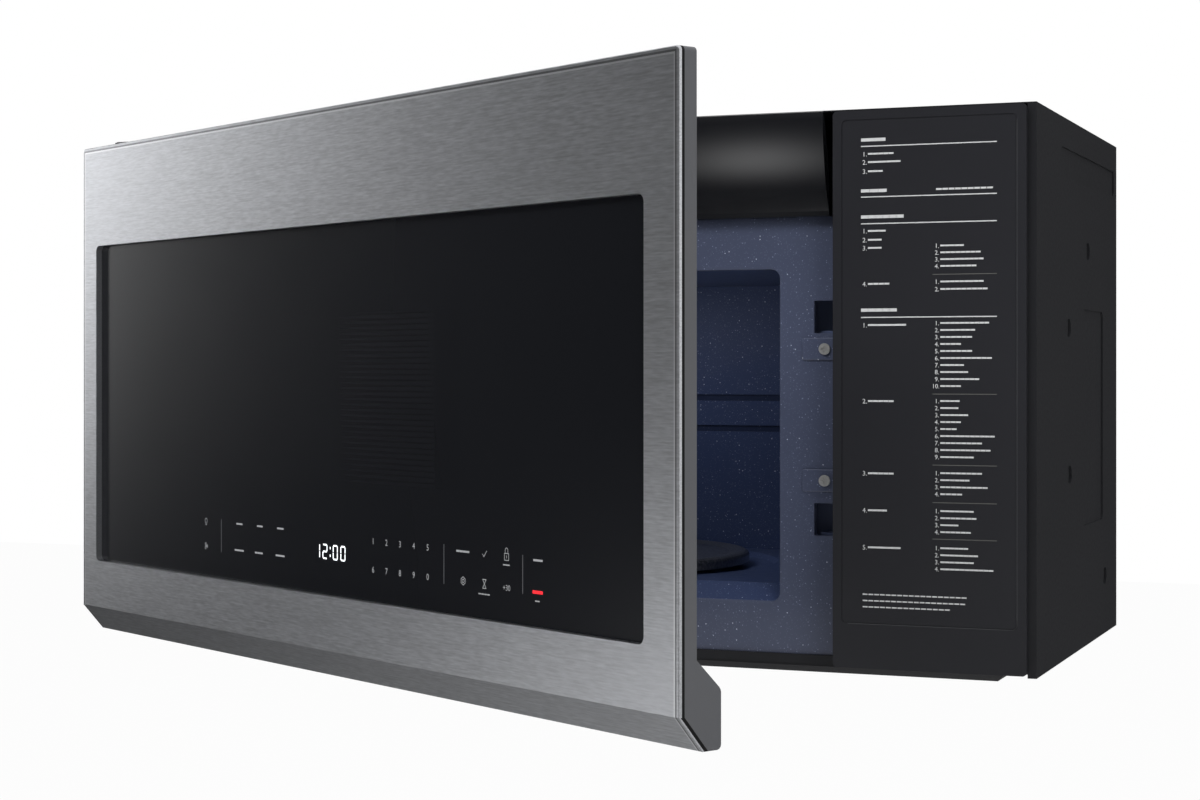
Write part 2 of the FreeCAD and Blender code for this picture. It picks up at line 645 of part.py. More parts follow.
def make_waveguide_cover():
    """Mica sheet over the waveguide port, inside the right wall."""
    lap = PORT_COVER_LAP
    half = PORT_W / 2 + PORT_COVER_SIDE
    return box(MOUTH_R - 0.8, MOUTH_R, TABLE_Y - half, TABLE_Y + half,
               PORT_HI - PORT_H - lap, PORT_HI + lap)


def make_menu_panel():
    """Fixed right-hand panel: a shallow tray with an engraved outline on its face."""
    x0, x1 = PANEL_L_X, PANEL_R_X
    shell = rounded(x0, x1, Y_PANEL, Y_FRAME, PANEL_LOW_Z, PANEL_TOP_Z, (0, 1, 0), PANEL_R)
    w = PANEL_WALL
    hollow = box(x0 + w, x1 - w, Y_PANEL + w, Y_FRAME + 1.0, PANEL_LOW_Z + w, PANEL_TOP_Z - w)
    m = LINE_MARGIN
    z0, z1 = PANEL_LOW_Z + LINE_FOOT, PANEL_TOP_Z - m
    ring = rounded(x0 + m, x1 - m, Y_PANEL - 1.0, Y_PANEL + LINE_DEPTH, z0, z1, (0, 1, 0), 4.0)
    core = rounded(x0 + m + LINE_W, x1 - m - LINE_W, Y_PANEL - 2.0, Y_PANEL + 2.0,
                   z0 + LINE_W, z1 - LINE_W, (0, 1, 0), 4.0 - LINE_W)
    return shell.cut(hollow).cut(ring.cut(core))


def vent_outline(back):
    """Curved face from the case top to its foot, set back by the wall when back is true."""
    shift = VENT_T if back else 0.0
    top = V(0, Y_PANEL + shift, TOP - SHEET)
    foot = V(0, Y_PANEL + VENT_LEAN + shift, Z_FRAME_TOP + VENT_STEP + shift)
    run = foot - top
    mid = (top + foot) * 0.5 + V(0, -run.z, run.y).normalize() * VENT_BOW
    return top, mid, foot


def make_vent_deflector():
    """Curved black air deflector over the cavity, its ledge slotted from underneath."""
    f_top, f_mid, f_foot = vent_outline(False)
    b_top, b_mid, b_foot = vent_outline(True)
    ledge = Z_FRAME_TOP + VENT_T
    f_end = V(0, Y_MOUTH, Z_FRAME_TOP)
    b_end = V(0, Y_MOUTH, ledge)
    wire = Part.Wire([
        Part.Arc(f_top, f_mid, f_foot).toShape(),
        Part.makeLine(f_foot, V(0, f_foot.y, Z_FRAME_TOP)),
        Part.makeLine(V(0, f_foot.y, Z_FRAME_TOP), f_end),
        Part.makeLine(f_end, b_end),
        Part.makeLine(b_end, V(0, b_foot.y, ledge)),
        Part.makeLine(V(0, b_foot.y, ledge), b_foot),
        Part.Arc(b_foot, b_mid, b_top).toShape(),
        Part.makeLine(b_top, f_top)])
    x0 = -HALF + SHEET
    x1 = PANEL_L_X - VENT_GAP
    solid = Part.Face(wire).extrude(V(x1 - x0, 0, 0))
    solid.translate(V(x0, 0, 0))
    first = (x0 + x1) / 2 - (VENT_SLOTS - 1) * VENT_SLOT_PITCH / 2
    for n in range(VENT_SLOTS):
        x = first + n * VENT_SLOT_PITCH
        solid = solid.cut(box(x - VENT_SLOT_W / 2, x + VENT_SLOT_W / 2, b_foot.y + 1.0,
                              Y_FRAME - 1.5, Z_FRAME_TOP - 1.0, ledge + 1.0))
    return solid


# ---------------------------------------------------------------- turntable
def make_turntable_tray():
    """Round tray whose low rim is rolled over into a lip that hangs round it."""
    z, r, top, low = TRAY_Z, TRAY_R, TRAY_Z + TRAY_RISE, TRAY_Z - TRAY_LIP
    profile = [(0, z), (TRAY_FLAT_R, z), (r - 8.0, top - 2.2), (r - 4.5, top - 2.2),
               (r - 2.0, z + 1.0), (r - 2.0, low), (r, low), (r, z + 1.5), (r - 1.2, top - 1.6),
               (r - 3.5, top - 0.3), (r - 6.0, top), (r - 9.0, top - 0.4),
               (TRAY_FLAT_R - 1.0, z + TRAY_T), (0, z + TRAY_T)]
    return turned(profile, (CAVITY_X, TABLE_Y))


def roller_angles():
    return [math.radians(a) for a in (90.0, 210.0, 330.0)]


def make_roller_ring():
    """Ring with three stub axles, carried by the rollers."""
    r0 = ROLLER_PITCH_R - ROLLER_LEN / 2 - RING_ARM
    ring = turned([(r0 - RING_W, AXLE_Z - RING_T / 2), (r0, AXLE_Z - RING_T / 2),
                   (r0, AXLE_Z + RING_T / 2), (r0 - RING_W, AXLE_Z + RING_T / 2)],
                  (CAVITY_X, TABLE_Y))
    stubs = []
    for a in roller_angles():
        c, s = math.cos(a), math.sin(a)
        stubs.append(cyl(AXLE_R, ROLLER_PITCH_R + ROLLER_LEN / 2 + 2.0 - r0 + 1.0,
                         (CAVITY_X + (r0 - 1.0) * c, TABLE_Y + (r0 - 1.0) * s, AXLE_Z), (c, s, 0)))
        stubs.append(cyl(AXLE_R + 1.0, RING_ARM - SEAT_GAP + 1.0,
                         (CAVITY_X + (r0 - 1.0) * c, TABLE_Y + (r0 - 1.0) * s, AXLE_Z), (c, s, 0)))
        tip = ROLLER_PITCH_R + ROLLER_LEN / 2 + SEAT_GAP
        stubs.append(cyl(AXLE_R + 1.0, 2.0, (CAVITY_X + tip * c, TABLE_Y + tip * s, AXLE_Z),
                         (c, s, 0)))
    return fused(ring, stubs)


def make_roller(angle):
    """One roller, bored for its stub axle."""
    c, s = math.cos(angle), math.sin(angle)
    r = ROLLER_PITCH_R - ROLLER_LEN / 2
    start = (CAVITY_X + r * c, TABLE_Y + r * s, AXLE_Z)
    wheel = cyl(ROLLER_R, ROLLER_LEN, start, (c, s, 0))
    return wheel.cut(cyl(AXLE_R + SLIP, ROLLER_LEN, start, (c, s, 0)))


def make_drive_coupler():
    """Three-lobed coupler under the tray with its shaft down into the motor."""
    top = TRAY_Z - SEAT_GAP
    hub = cyl(COUPLER_R - 6.0, top - FLOOR - 1.0, (CAVITY_X, TABLE_Y, FLOOR + 1.0), (0, 0, 1))
    lobes = []
    for a in roller_angles():
        lobe = box(0, COUPLER_R, -3.0, 3.0, top - 3.0, top)
        lobe.rotate(V(0, 0, 0), V(0, 0, 1), math.degrees(a))
        lobe.translate(V(CAVITY_X, TABLE_Y, 0))
        lobes.append(lobe)
    depth = SHEET + MOTOR_H - 4.0
    shaft = cyl(DRIVE_SHAFT_R, depth + 3.0, (CAVITY_X, TABLE_Y, FLOOR - depth), (0, 0, 1))
    return fused(hub, lobes + [shaft])


def make_turntable_motor():
    """Flat synchronous motor under the cavity floor."""
    z = FLOOR - SHEET
    body = cyl(MOTOR_R, MOTOR_H, (CAVITY_X, TABLE_Y, z - MOTOR_H), (0, 0, 1))
    ears = box(CAVITY_X - MOTOR_R - 9.0, CAVITY_X + MOTOR_R + 9.0, TABLE_Y - 7.0, TABLE_Y + 7.0,
               z - 1.5, z)
    depth = MOTOR_H - 4.0
    bore = cyl(DRIVE_SHAFT_R + SLIP, depth + 1.0, (CAVITY_X, TABLE_Y, z - depth), (0, 0, 1))
    plug = box(CAVITY_X - 8.0, CAVITY_X + 8.0, TABLE_Y + MOTOR_R - 3.0, TABLE_Y + MOTOR_R + 8.0,
               z - MOTOR_H, z - 3.0)
    return fused(body, [ears, plug]).cut(bore)


# ---------------------------------------------------------------- hinge on the cabinet
def hinge_bracket(tongue_low, plate_low, plate_high):
    """Plate on the enamel frame with a tongue that carries the hinge pin."""
    y = Y_FRAME
    x0 = PIN_X - BRACKET_W / 2 + 3.0
    plate = box(x0, x0 + BRACKET_W, y - 2.0, y, plate_low, plate_high)
    tongue = box(PIN_X - TONGUE_R, PIN_X + TONGUE_R, PIN_Y, y - 1.0, tongue_low,
                 tongue_low + TONGUE_T)
    nose = cyl(TONGUE_R, TONGUE_T, (PIN_X, PIN_Y, tongue_low), (0, 0, 1))
    return fused(plate, [tongue, nose]).cut(cyl(PIN_R, TONGUE_T, (PIN_X, PIN_Y, tongue_low),
                                                (0, 0, 1)))


def upper_tongue():
    return TOP - UPPER_HINGE


def lower_tongue():
    return BASE + LOWER_HINGE - TONGUE_T


def make_hinge_bracket_upper():
    z = upper_tongue()
    return hinge_bracket(z, z, z + BRACKET_H)


def make_hinge_bracket_lower():
    z = lower_tongue()
    return hinge_bracket(z, z + TONGUE_T - BRACKET_H, z + TONGUE_T)


def make_hinge_pins():
    """Two like headed pins, riveted in the bracket tongues."""
    z = upper_tongue()
    reach = ARM_T + SEAT_GAP + 2.0
    upper = cyl(PIN_R, TONGUE_T + reach, (PIN_X, PIN_Y, z - reach), (0, 0, 1))
    upper = upper.fuse(cyl(PIN_R + 2.0, 2.0, (PIN_X, PIN_Y, z + TONGUE_T), (0, 0, 1)))
    z = lower_tongue()
    lower = cyl(PIN_R, TONGUE_T + reach, (PIN_X, PIN_Y, z), (0, 0, 1))
    lower = lower.fuse(cyl(PIN_R + 2.0, 2.0, (PIN_X, PIN_Y, z - 2.0), (0, 0, 1)))
    return Part.makeCompound([upper.removeSplitter(), lower.removeSplitter()])


# ---------------------------------------------------------------- door
def make_door_skin():
    """Steel face with a rolled edge, a turned-in rim round the glass and the slanted lip."""
    face = rounded(-HALF, HALF, Y_DOOR, door_y(SKIN_WRAP), FOLD - SKIN_R, DOOR_TOP, (0, 1, 0),
                   SKIN_R)
    front = [e for e in face.Edges if abs(e.BoundBox.YMax - Y_DOOR) < 1e-6
             and e.BoundBox.ZMax > FOLD]
    face = face.makeFillet(0.9, front)
    face = face.cut(door_box(-HALF - 1, HALF + 1, -1, SKIN_WRAP + 1, FOLD - SKIN_R - 1, FOLD))
    core = rounded(-HALF + SKIN, HALF - SKIN, door_y(SKIN), door_y(SKIN_WRAP + 1),
                   FOLD - SKIN_R, DOOR_TOP - SKIN, (0, 1, 0), SKIN_R - SKIN)
    face = face.cut(core)
    rim = rounded(GLASS_L - SKIN, GLASS_R + SKIN, door_y(SKIN / 2), door_y(GLASS_SETBACK),
                  GLASS_LO - SKIN, GLASS_HI + SKIN, (0, 1, 0), 6.0)
    hole = rounded(GLASS_L, GLASS_R, door_y(-1), door_y(GLASS_SETBACK + 1),
                   GLASS_LO, GLASS_HI, (0, 1, 0), 5.0)
    slip = SKIN * 1.3
    lip = door_prism([(0, FOLD), (LIP_RUN, LIP_END), (LIP_RUN + slip, LIP_END), (slip, FOLD)],
                     -HALF, HALF)
    return fused(face, [rim, lip]).cut(hole)


def make_door_tray():
    """Black structural tray behind the glass, its edge showing as a seam behind the steel."""
    x = HALF - FRAME_WALL
    top = DOOR_TOP - FRAME_WALL
    outer = rounded(-x, x, door_y(SKIN), door_y(BACK_D), GRIP_HI - SKIN_R, top, (0, 1, 0),
                    SKIN_R - FRAME_WALL)
    outer = outer.cut(door_box(-x - 1, x + 1, SKIN - 1, BACK_D + 1, GRIP_HI - SKIN_R - 1, GRIP_HI))
    inner = door_box(-x + 4.0, x - 4.0, SKIN - 1, TRAY_D, GRIP_HI - 1, top - 4.0)
    tray = outer.cut(inner)
    lap = GLASS_LAP + 0.2
    seat = door_box(GLASS_L - lap, GLASS_R + lap, SKIN - 1, TRAY_D, GLASS_LO - lap, GLASS_HI + lap)
    window = door_box(WIN_L, WIN_R, 0, BACK_D + 1, WIN_LO, WIN_HI)
    board = door_box(BOARD_L, BOARD_L + CONTROL_W, 0, BACK_D + 1, BOARD_HI - CONTROL_H, BOARD_HI)
    return tray.cut(seat).cut(window).cut(board)


def make_door_frame():
    """Grey plastic edge of the door: left, top and right, with a flange behind the tray."""
    z0, z1 = GRIP_HI, DOOR_TOP
    d0 = SKIN_WRAP + SEAM
    outer = rounded(-HALF, HALF, door_y(d0), door_y(EDGE_DEPTH), z0 - SKIN_R, z1, (0, 1, 0),
                    SKIN_R)
    outer = outer.cut(door_box(-HALF - 1, HALF + 1, d0 - 1, EDGE_DEPTH + 1, z0 - SKIN_R - 1, z0))
    w = FRAME_WALL
    core = rounded(-HALF + w, HALF - w, door_y(d0 - 1), door_y(BACK_D), z0 - 2 * SKIN_R, z1 - w,
                   (0, 1, 0), SKIN_R - w)
    f = FRAME_FLANGE
    through = door_box(-HALF + f, HALF - f, BACK_D - 1, EDGE_DEPTH + 1, z0 - 1, z1 - f)
    return outer.cut(core).cut(through)


def lip_inner(depth):
    """Height of the lip's inner face at a depth behind the door face."""
    return FOLD - (depth - SKIN * 1.3) * LIP_DROP / LIP_RUN


def make_door_grip():
    """Bottom grip: a hollow profile with the finger pocket open underneath."""
    d0 = SKIN_WRAP + SEAM
    low = LIP_END
    lip_d = LIP_RUN + SKIN * 1.3
    heel_z = GRIP_HI - GRIP_SLOPE
    full = [(d0, GRIP_HI), (EDGE_DEPTH, GRIP_HI), (GRIP_DEPTH - 1.4, heel_z + 1.4),
            (GRIP_DEPTH - 0.4, heel_z), (GRIP_DEPTH, heel_z - 1.5), (GRIP_DEPTH, low + 3.0),
            (GRIP_DEPTH - 0.4, low + 1.5), (GRIP_DEPTH - 1.5, low + 0.4), (GRIP_DEPTH - 3.0, low),
            (lip_d, low), (d0, lip_inner(d0))]
    start = -HALF + GRIP_START
    grip = door_prism(full, start, HALF)
    short = [(d0, GRIP_HI), (EDGE_DEPTH, GRIP_HI), (LIP_RUN, GRIP_HI - 7.0), (LIP_RUN, low + 2.0),
             (LIP_RUN, lip_inner(LIP_RUN)), (d0, lip_inner(d0))]
    heel = door_prism(short, -HALF, start)
    grip = fused(grip, [heel])
    w = GRIP_WALL
    front = d0 + w + 1.0
    back = GRIP_DEPTH - w
    roof = GRIP_HI - GRIP_SLOPE - w
    lining = GRIP_LINING
    pocket = [(lip_d + lining, low - 0.5), (back, low - 0.5), (back, roof), (front, roof),
              (front, lip_inner(front - lining))]
    return grip.cut(door_prism(pocket, start + w, HALF - w))


def make_door_glass():
    """Tinted front glass with the touch controls behind it."""
    lap = GLASS_LAP
    return rounded(GLASS_L - lap, GLASS_R + lap, door_y(GLASS_SETBACK), door_y(TRAY_D),
                   GLASS_LO - lap, GLASS_HI + lap, (0, 1, 0), 5.0)


def make_touch_board():
    """Touch circuit board behind the glass, cut out for the display."""
    g = 0.5
    board = door_box(BOARD_L + g, BOARD_L + CONTROL_W - g, TRAY_D, TRAY_D + BOARD_T,
                     BOARD_HI - CONTROL_H + g, BOARD_HI - g)
    x = -HALF + DISPLAY_LEFT
    z = BOARD_HI - DISPLAY_DROP
    return board.cut(door_box(x, x + DISPLAY_W, 0, BACK_D, z - DISPLAY_H, z))


def make_display_module():
    """Clock display that looks through the glass."""
    x = -HALF + DISPLAY_LEFT
    z = BOARD_HI - DISPLAY_DROP
    return door_box(x, x + DISPLAY_W, TRAY_D, TRAY_D + DISPLAY_D, z - DISPLAY_H, z)


def choke_outline(grow):
    """(depth, z) outline of the choke box, stepped over the grip at its foot."""
    hi = MOUTH_TOP + CHOKE_LAP + grow
    lo = MOUTH_LOW - CHOKE_LAP - grow
    step = GRIP_HI + 1.5 - grow
    clear = GRIP_DEPTH + 1.0 - grow
    return [(BACK_D, hi), (CHOKE_D, hi), (CHOKE_D, lo), (clear, lo), (clear, step), (BACK_D, step)]


def make_door_choke():
    """Steel choke box that faces the cavity mouth, with the window cut through its back."""
    x0, x1 = MOUTH_L - CHOKE_LAP, MOUTH_R + CHOKE_LAP
    outer = door_prism(choke_outline(0.0), x0, x1)
    t = CHOKE_T
    hi, lo = MOUTH_TOP + CHOKE_LAP - t, MOUTH_LOW - CHOKE_LAP + t
    step = GRIP_HI + 1.5 + t
    inside = [(BACK_D - 1, hi), (CHOKE_D - t, hi), (CHOKE_D - t, lo), (GRIP_DEPTH + 1.0 + t, lo),
              (GRIP_DEPTH + 1.0 + t, step), (BACK_D - 1, step)]
    inner = door_prism(inside, x0 + t, x1 - t)
    window = door_box(WIN_L, WIN_R, CHOKE_D - 2 * t, CHOKE_D + 1, WIN_LO, WIN_HI)
    return outer.cut(inner).cut(window)


def make_choke_cover():
    """Black plastic ring round the choke."""
    x0, x1 = MOUTH_L - CHOKE_LAP, MOUTH_R + CHOKE_LAP
    hi, lo = MOUTH_TOP + CHOKE_LAP, MOUTH_LOW - CHOKE_LAP
    outer = rounded(x0 - COVER_W, x1 + COVER_W, door_y(CHOKE_D - COVER_D), door_y(CHOKE_D - 1.0),
                    lo - COVER_W, hi + COVER_W, (0, 1, 0), 5.0)
    return outer.cut(door_box(x0, x1, 0, CHOKE_D + 1, lo, hi))


def make_window_screen():
    """Perforated steel screen behind the window, in rows of fine slots."""
    lap = SCREEN_LAP
    x0, x1 = WIN_L - lap, WIN_R + lap
    z0, z1 = WIN_LO - lap, WIN_HI + lap
    y = door_y(CHOKE_D - CHOKE_T - 1.0)
    holes = []
    rows = int((WIN_HI - WIN_LO - 6.0) / SCREEN_PITCH)
    pitch = (WIN_R - WIN_L - 2 * SCREEN_WEB) / SCREEN_COLS
    for r in range(rows):
        z = WIN_HI - SCREEN_PITCH - 1.0 - r * SCREEN_PITCH
        for c in range(SCREEN_COLS):
            x = WIN_L + SCREEN_WEB + 2.0 + c * pitch
            holes.append(rect_wire_xz(x, x + pitch - SCREEN_WEB, z - SCREEN_SLOT, z, y))
    return holed_plate(rect_wire_xz(x0, x1, z0, z1, y), holes, (0, 1.0, 0))


def make_inner_glass():
    """Inner window pane, let into the choke's back."""
    g = 0.2
    return door_box(WIN_L + g, WIN_R - g, CHOKE_D - CHOKE_T, CHOKE_D, WIN_LO + g, WIN_HI - g)


def door_arm(low):
    """Hinge arm: flange on the tray, arm back to a bored boss on the pin."""
    flange = door_box(PIN_X - ARM_HALF, PIN_X + ARM_HALF + 4.0, BACK_D, BACK_D + 2.0,
                      low - 16.0, low + ARM_T + 16.0)
    reach = box(PIN_X - ARM_EDGE, PIN_X + ARM_HALF, door_y(BACK_D + 1.0), PIN_Y, low, low + ARM_T)
    boss = cyl(BOSS_R, ARM_T, (PIN_X, PIN_Y, low), (0, 0, 1))
    arm = fused(flange, [reach, boss])
    return arm.cut(cyl(PIN_R + SLIP, ARM_T, (PIN_X, PIN_Y, low), (0, 0, 1)))


def make_door_arm_upper():
    return door_arm(upper_tongue() - SEAT_GAP - ARM_T)


def make_door_arm_lower():
    return door_arm(lower_tongue() + TONGUE_T + SEAT_GAP)


def housing_x0():
    return MOUTH_R + CHOKE_LAP + COVER_W


def make_latch_housing():
    """Channel beside the choke that guides the latch carrier, slotted for its hooks."""
    x0 = housing_x0()
    x1 = x0 + HOUSING_W
    z0, z1 = HOOK_ZS[1] - 28.0, HOOK_ZS[0] + 28.0
    t = HOUSING_T
    shell = door_box(x0, x1, BACK_D, HOUSING_BACK, z0, z1)
    shell = shell.cut(door_box(x0 + t, x1 - t, BACK_D - 1, HOUSING_BACK - t, z0 + t, z1 - t))
    for z in HOOK_ZS:
        shell = shell.cut(door_box(HOOK_X - HOOK_T / 2 - 1.5, HOOK_X + HOOK_T / 2 + 1.5,
                                   HOUSING_BACK - 2 * t, HOUSING_BACK + 1,
                                   z - HOOK_H / 2 - HOOK_NOSE - 1.5,
                                   z + HOOK_H / 2 + LATCH_LIFT + 1.5))
    return shell


def make_latch_carrier():
    """Sprung bar with the two latch hooks, free to lift inside its housing."""
    z0 = HOOK_ZS[1] - 28.0 + HOUSING_T + SEAT_GAP
    z1 = HOOK_ZS[0] + 18.0
    bar = door_box(HOOK_X - 6.0, HOOK_X + HOOK_T / 2 + 1.0, BACK_D + 8.0, BACK_D + 14.0, z0, z1)
    hooks = []
    tip = CHOKE_D + CHOKE_GAP + HOOK_REACH
    for z in HOOK_ZS:
        h = HOOK_H / 2
        side = [(BACK_D + 10.0, z + h), (tip - 4.0, z + h), (tip, z), (tip, z - h - HOOK_NOSE),
                (tip - 6.0, z - h - HOOK_NOSE), (tip - 6.0, z - h), (BACK_D + 10.0, z - h)]
        hooks.append(door_prism(side, HOOK_X - HOOK_T / 2, HOOK_X + HOOK_T / 2))
    return fused(bar, hooks)


# ---------------------------------------------------------------- latch side of the cabinet
def make_latch_board():
    """Plastic board behind the enamel plate on two posts, with a ramp under each hook."""
    y = Y_MOUTH + 20.0
    board = box(HOOK_X - 14.0, HOOK_X + 16.0, y, y + 3.0, HOOK_ZS[1] - 30.0, HOOK_ZS[0] + 30.0)
    extra = []
    for z in SCREW_ZS:
        extra.append(cyl(5.0, 20.5, (HOOK_X, Y_MOUTH, z), (0, 1, 0)))
    for z in HOOK_ZS:
        low = z - HOOK_H / 2 - HOOK_NOSE - 1.0
        extra.append(box(HOOK_X - 6.0, HOOK_X + 6.0, Y_MOUTH + 6.0, y + 1.0, low - 6.0, low))
    board = fused(board, extra)
    for z in SCREW_ZS:
        board = board.cut(cyl(SCREW_R + SLIP, 12.0, (HOOK_X, Y_MOUTH, z), (0, 1, 0)))
    return board


def make_latch_screws():
    """Two like screws through the pads of the enamel plate into the latch board."""
    screws = []
    for z in SCREW_ZS:
        y = Y_FRAME - EMBOSS_D
        head = cyl(SCREW_HEAD_R, 1.8, (HOOK_X, y - 1.8, z), (0, 1, 0))
        cross = box(HOOK_X - 2.4, HOOK_X + 2.4, y - 3.0, y - 1.0, z - 0.5, z + 0.5)
        cross = cross.fuse(box(HOOK_X - 0.5, HOOK_X + 0.5, y - 3.0, y - 1.0, z - 2.4, z + 2.4))
        shank = cyl(SCREW_R, EMBOSS_D + FRAME_T + 10.0, (HOOK_X, y, z), (0, 1, 0))
        screws.append(head.cut(cross).fuse(shank).removeSplitter())
    return Part.makeCompound(screws)


def make_interlock_switches():
    """Three like micro-switches on the latch board."""
    y = Y_MOUTH + 23.0
    switches = []
    for z in (HOOK_ZS[0], HOOK_ZS[1] + 8.0, HOOK_ZS[1] - 8.0):
        body = box(HOOK_X - 10.0, HOOK_X + 10.0, y, y + 16.0, z - 5.0, z + 5.0)
        tabs = [box(HOOK_X + dx, HOOK_X + dx + 3.0, y + 15.0, y + 22.0, z - 0.4, z + 0.4)
                for dx in (-8.0, 5.0)]
        switches.append(fused(body, tabs))
    return Part.makeCompound(switches)


# ---------------------------------------------------------------- microwave generator
def make_waveguide():
    """Sheet waveguide on the right wall of the cavity."""
    x0 = MOUTH_R + SHEET
    half = PORT_W / 2 + GUIDE_SIDE
    low, high = PORT_HI - PORT_H - GUIDE_LAP, MOUTH_TOP + GUIDE_RISE
    outer = box(x0, x0 + GUIDE_D, TABLE_Y - half, TABLE_Y + half, low, high)
    inner = box(x0 - 1.0, x0 + GUIDE_D - SHEET, TABLE_Y - half + SHEET, TABLE_Y + half - SHEET,
                low + SHEET, high - SHEET)
    port = cyl(ANTENNA_R + GUIDE_LAP, 6.0, (x0 + GUIDE_D - 3.0, TABLE_Y, MAGNETRON_Z), (1, 0, 0))
    shell = outer.cut(inner).cut(port)
    return shell.cut(box(x0 - 1, x0 + SHEET / 2, TABLE_Y - PORT_W / 2, TABLE_Y + PORT_W / 2,
                         PORT_HI - PORT_H, PORT_HI))


def make_magnetron():
    """Magnetron: yoke, cooling fins and the antenna dome that enters the waveguide."""
    x0 = MOUTH_R + SHEET + GUIDE_D
    x1 = x0 + MAGNETRON_L
    y0, y1 = TABLE_Y - MAGNETRON_W / 2, TABLE_Y + MAGNETRON_W / 2
    z0, z1 = MAGNETRON_Z - MAGNETRON_H / 2, MAGNETRON_Z + MAGNETRON_H / 2
    t = YOKE_T
    plates = [box(x0, x0 + t, y0, y1, z0, z1), box(x1 - t, x1, y0, y1, z0, z1)]
    first = x0 + FIN_PITCH + 1.6
    plates += [box(first + FIN_PITCH * n, first + FIN_T + FIN_PITCH * n, y0 + t, y1 - t,
                   z0 + t, z1 - t) for n in range(FINS)]
    plates += [box(x0, x1, y, y + 2.0, z0, z1) for y in (y0, y1 - 2.0)]
    core = cyl(CORE_R, MAGNETRON_L - 1.0, (x0 + 0.5, TABLE_Y, MAGNETRON_Z), (1, 0, 0))
    plates.append(cyl(ANTENNA_R, ANTENNA_L + 2.0, (x0 - ANTENNA_L, TABLE_Y, MAGNETRON_Z),
                      (1, 0, 0)))
    half = CHOKE_BOX / 2
    plates.append(box(x1, x1 + CHOKE_BOX_L, TABLE_Y - half, TABLE_Y + half,
                      MAGNETRON_Z - half, MAGNETRON_Z + half))
    return fused(core, plates)


def shelf_top():
    return BASE + SHEET + SHELF_UP


def make_component_shelf():
    """Shelf over the base pan, right of the cavity, on a front and a rear leg."""
    x0, x1 = MOUTH_R + 8.0, HALF - SHEET
    z = shelf_top()
    y0, y1 = Y_FRAME + SHELF_FRONT, -SHELF_BACK
    deck = box(x0, x1, y0, y1, z - SHEET, z)
    legs = [box(x0, x1, y, y + SHEET, BASE + SHEET, z - SHEET / 2) for y in (y0, y1 - SHEET)]
    vents = [box(x, x + 10.0, y0 + 30.0, y0 + 70.0, z - 3.0, z + 3.0)
             for x in (x0 + 90.0, x0 + 110.0, x0 + 130.0, x0 + 150.0)]
    shelf = fused(deck, legs)
    for vent in vents:
        shelf = shelf.cut(vent)
    return shelf


def make_transformer():
    """High-voltage transformer: laminated core and two coils on the shelf."""
    x0, y0, z0 = MOUTH_R + CORE_SIDE, Y_FRAME + CORE_FRONT, shelf_top()
    x1, y1, z1 = x0 + CORE_W, y0 + CORE_L, z0 + CORE_H
    w = COIL_WINDOW
    core = box(x0, x1, y0, y1, z0, z1)
    for y in (y0 + w, y1 - 2 * w):
        core = core.cut(box(x0 - 1, x1 + 1, y, y + w, z0 + w + 2.0, z1 - w - 2.0))
    coil = rounded(x0 - COIL_OVER, x1 + COIL_OVER, y0 + w, y1 - w, z0 + w + 4.0, z1 - w - 4.0,
                   (0, 0, 1), 8.0)
    feet = box(x0 - w, x1 + w, y0 + w - 2.0, y1 - w + 2.0, z0, z0 + 2.0)
    return fused(core, [coil, feet])


def make_capacitor():
    """Oval high-voltage capacitor with its two terminals."""
    x0, y0, z0 = MOUTH_R + CAN_SIDE, -CAN_BACK - CAN_L, shelf_top()
    can = rounded(x0, x0 + CAN_W, y0, y0 + CAN_L, z0, z0 + CAN_H, (0, 0, 1), CAN_L / 2 - 1.0)
    mid = y0 + CAN_L / 2
    pins = [box(x - 3.0, x + 3.0, mid - 0.4, mid + 0.4, z0 + CAN_H - 1.0, z0 + CAN_H + 10.0)
            for x in (x0 + CAN_W / 2 - 10.0, x0 + CAN_W / 2 + 10.0)]
    return fused(can, pins)


def make_power_board():
    """Line filter and relay board, upright behind the right-hand panel."""
    x0, x1, y = PANEL_L_X + POWER_LEFT, PANEL_R_X - POWER_RIGHT, Y_FRAME + POWER_BACK
    z0, z1 = BASE + POWER_FOOT, TOP - POWER_DROP
    board = box(x0, x1, y, y + BOARD_T, z0, z1)
    parts = [box(x0 + 8.0, x0 + 28.0, y + 1.0, y + 18.0, z0 + 100.0, z0 + 130.0),
             box(x0 + 40.0, x0 + 60.0, y + 1.0, y + 18.0, z0 + 100.0, z0 + 130.0),
             box(x0 + 20.0, x0 + 52.0, y + 1.0, y + 24.0, z0 + 30.0, z0 + 62.0),
             cyl(9.0, 24.0, (x1 - 18.0, y + 1.0, z1 - 30.0), (0, 1, 0))]
    corners = [(x, z) for x in (x0 + 5.0, x1 - 5.0) for z in (z0 + 5.0, z1 - 5.0)]
    posts = [cyl(3.5, POWER_BACK + 0.5, (x, Y_FRAME, z), (0, 1, 0)) for x, z in corners]
    webs = [box(x - 3.0, x + 3.0, Y_PANEL + PANEL_WALL, Y_FRAME + 1.0, z - 3.0, z + 3.0)
            for x, z in corners]
    return fused(board, parts + posts + webs)


def make_cavity_lamp():
    """Lamp holder and bulb outside the perforated top right corner of the cavity."""
    x, y = MOUTH_R - BULB_SIDE, -BULB_BACK
    z = MOUTH_TOP + SHEET
    base = box(x - BULB_R - 3.0, x + BULB_R + 3.0, y - 20.0, y + 20.0, z, z + 4.0)
    socket = cyl(BULB_R, BULB_H, (x, y, z + 2.0), (0, 0, 1))
    return fused(base, [socket])


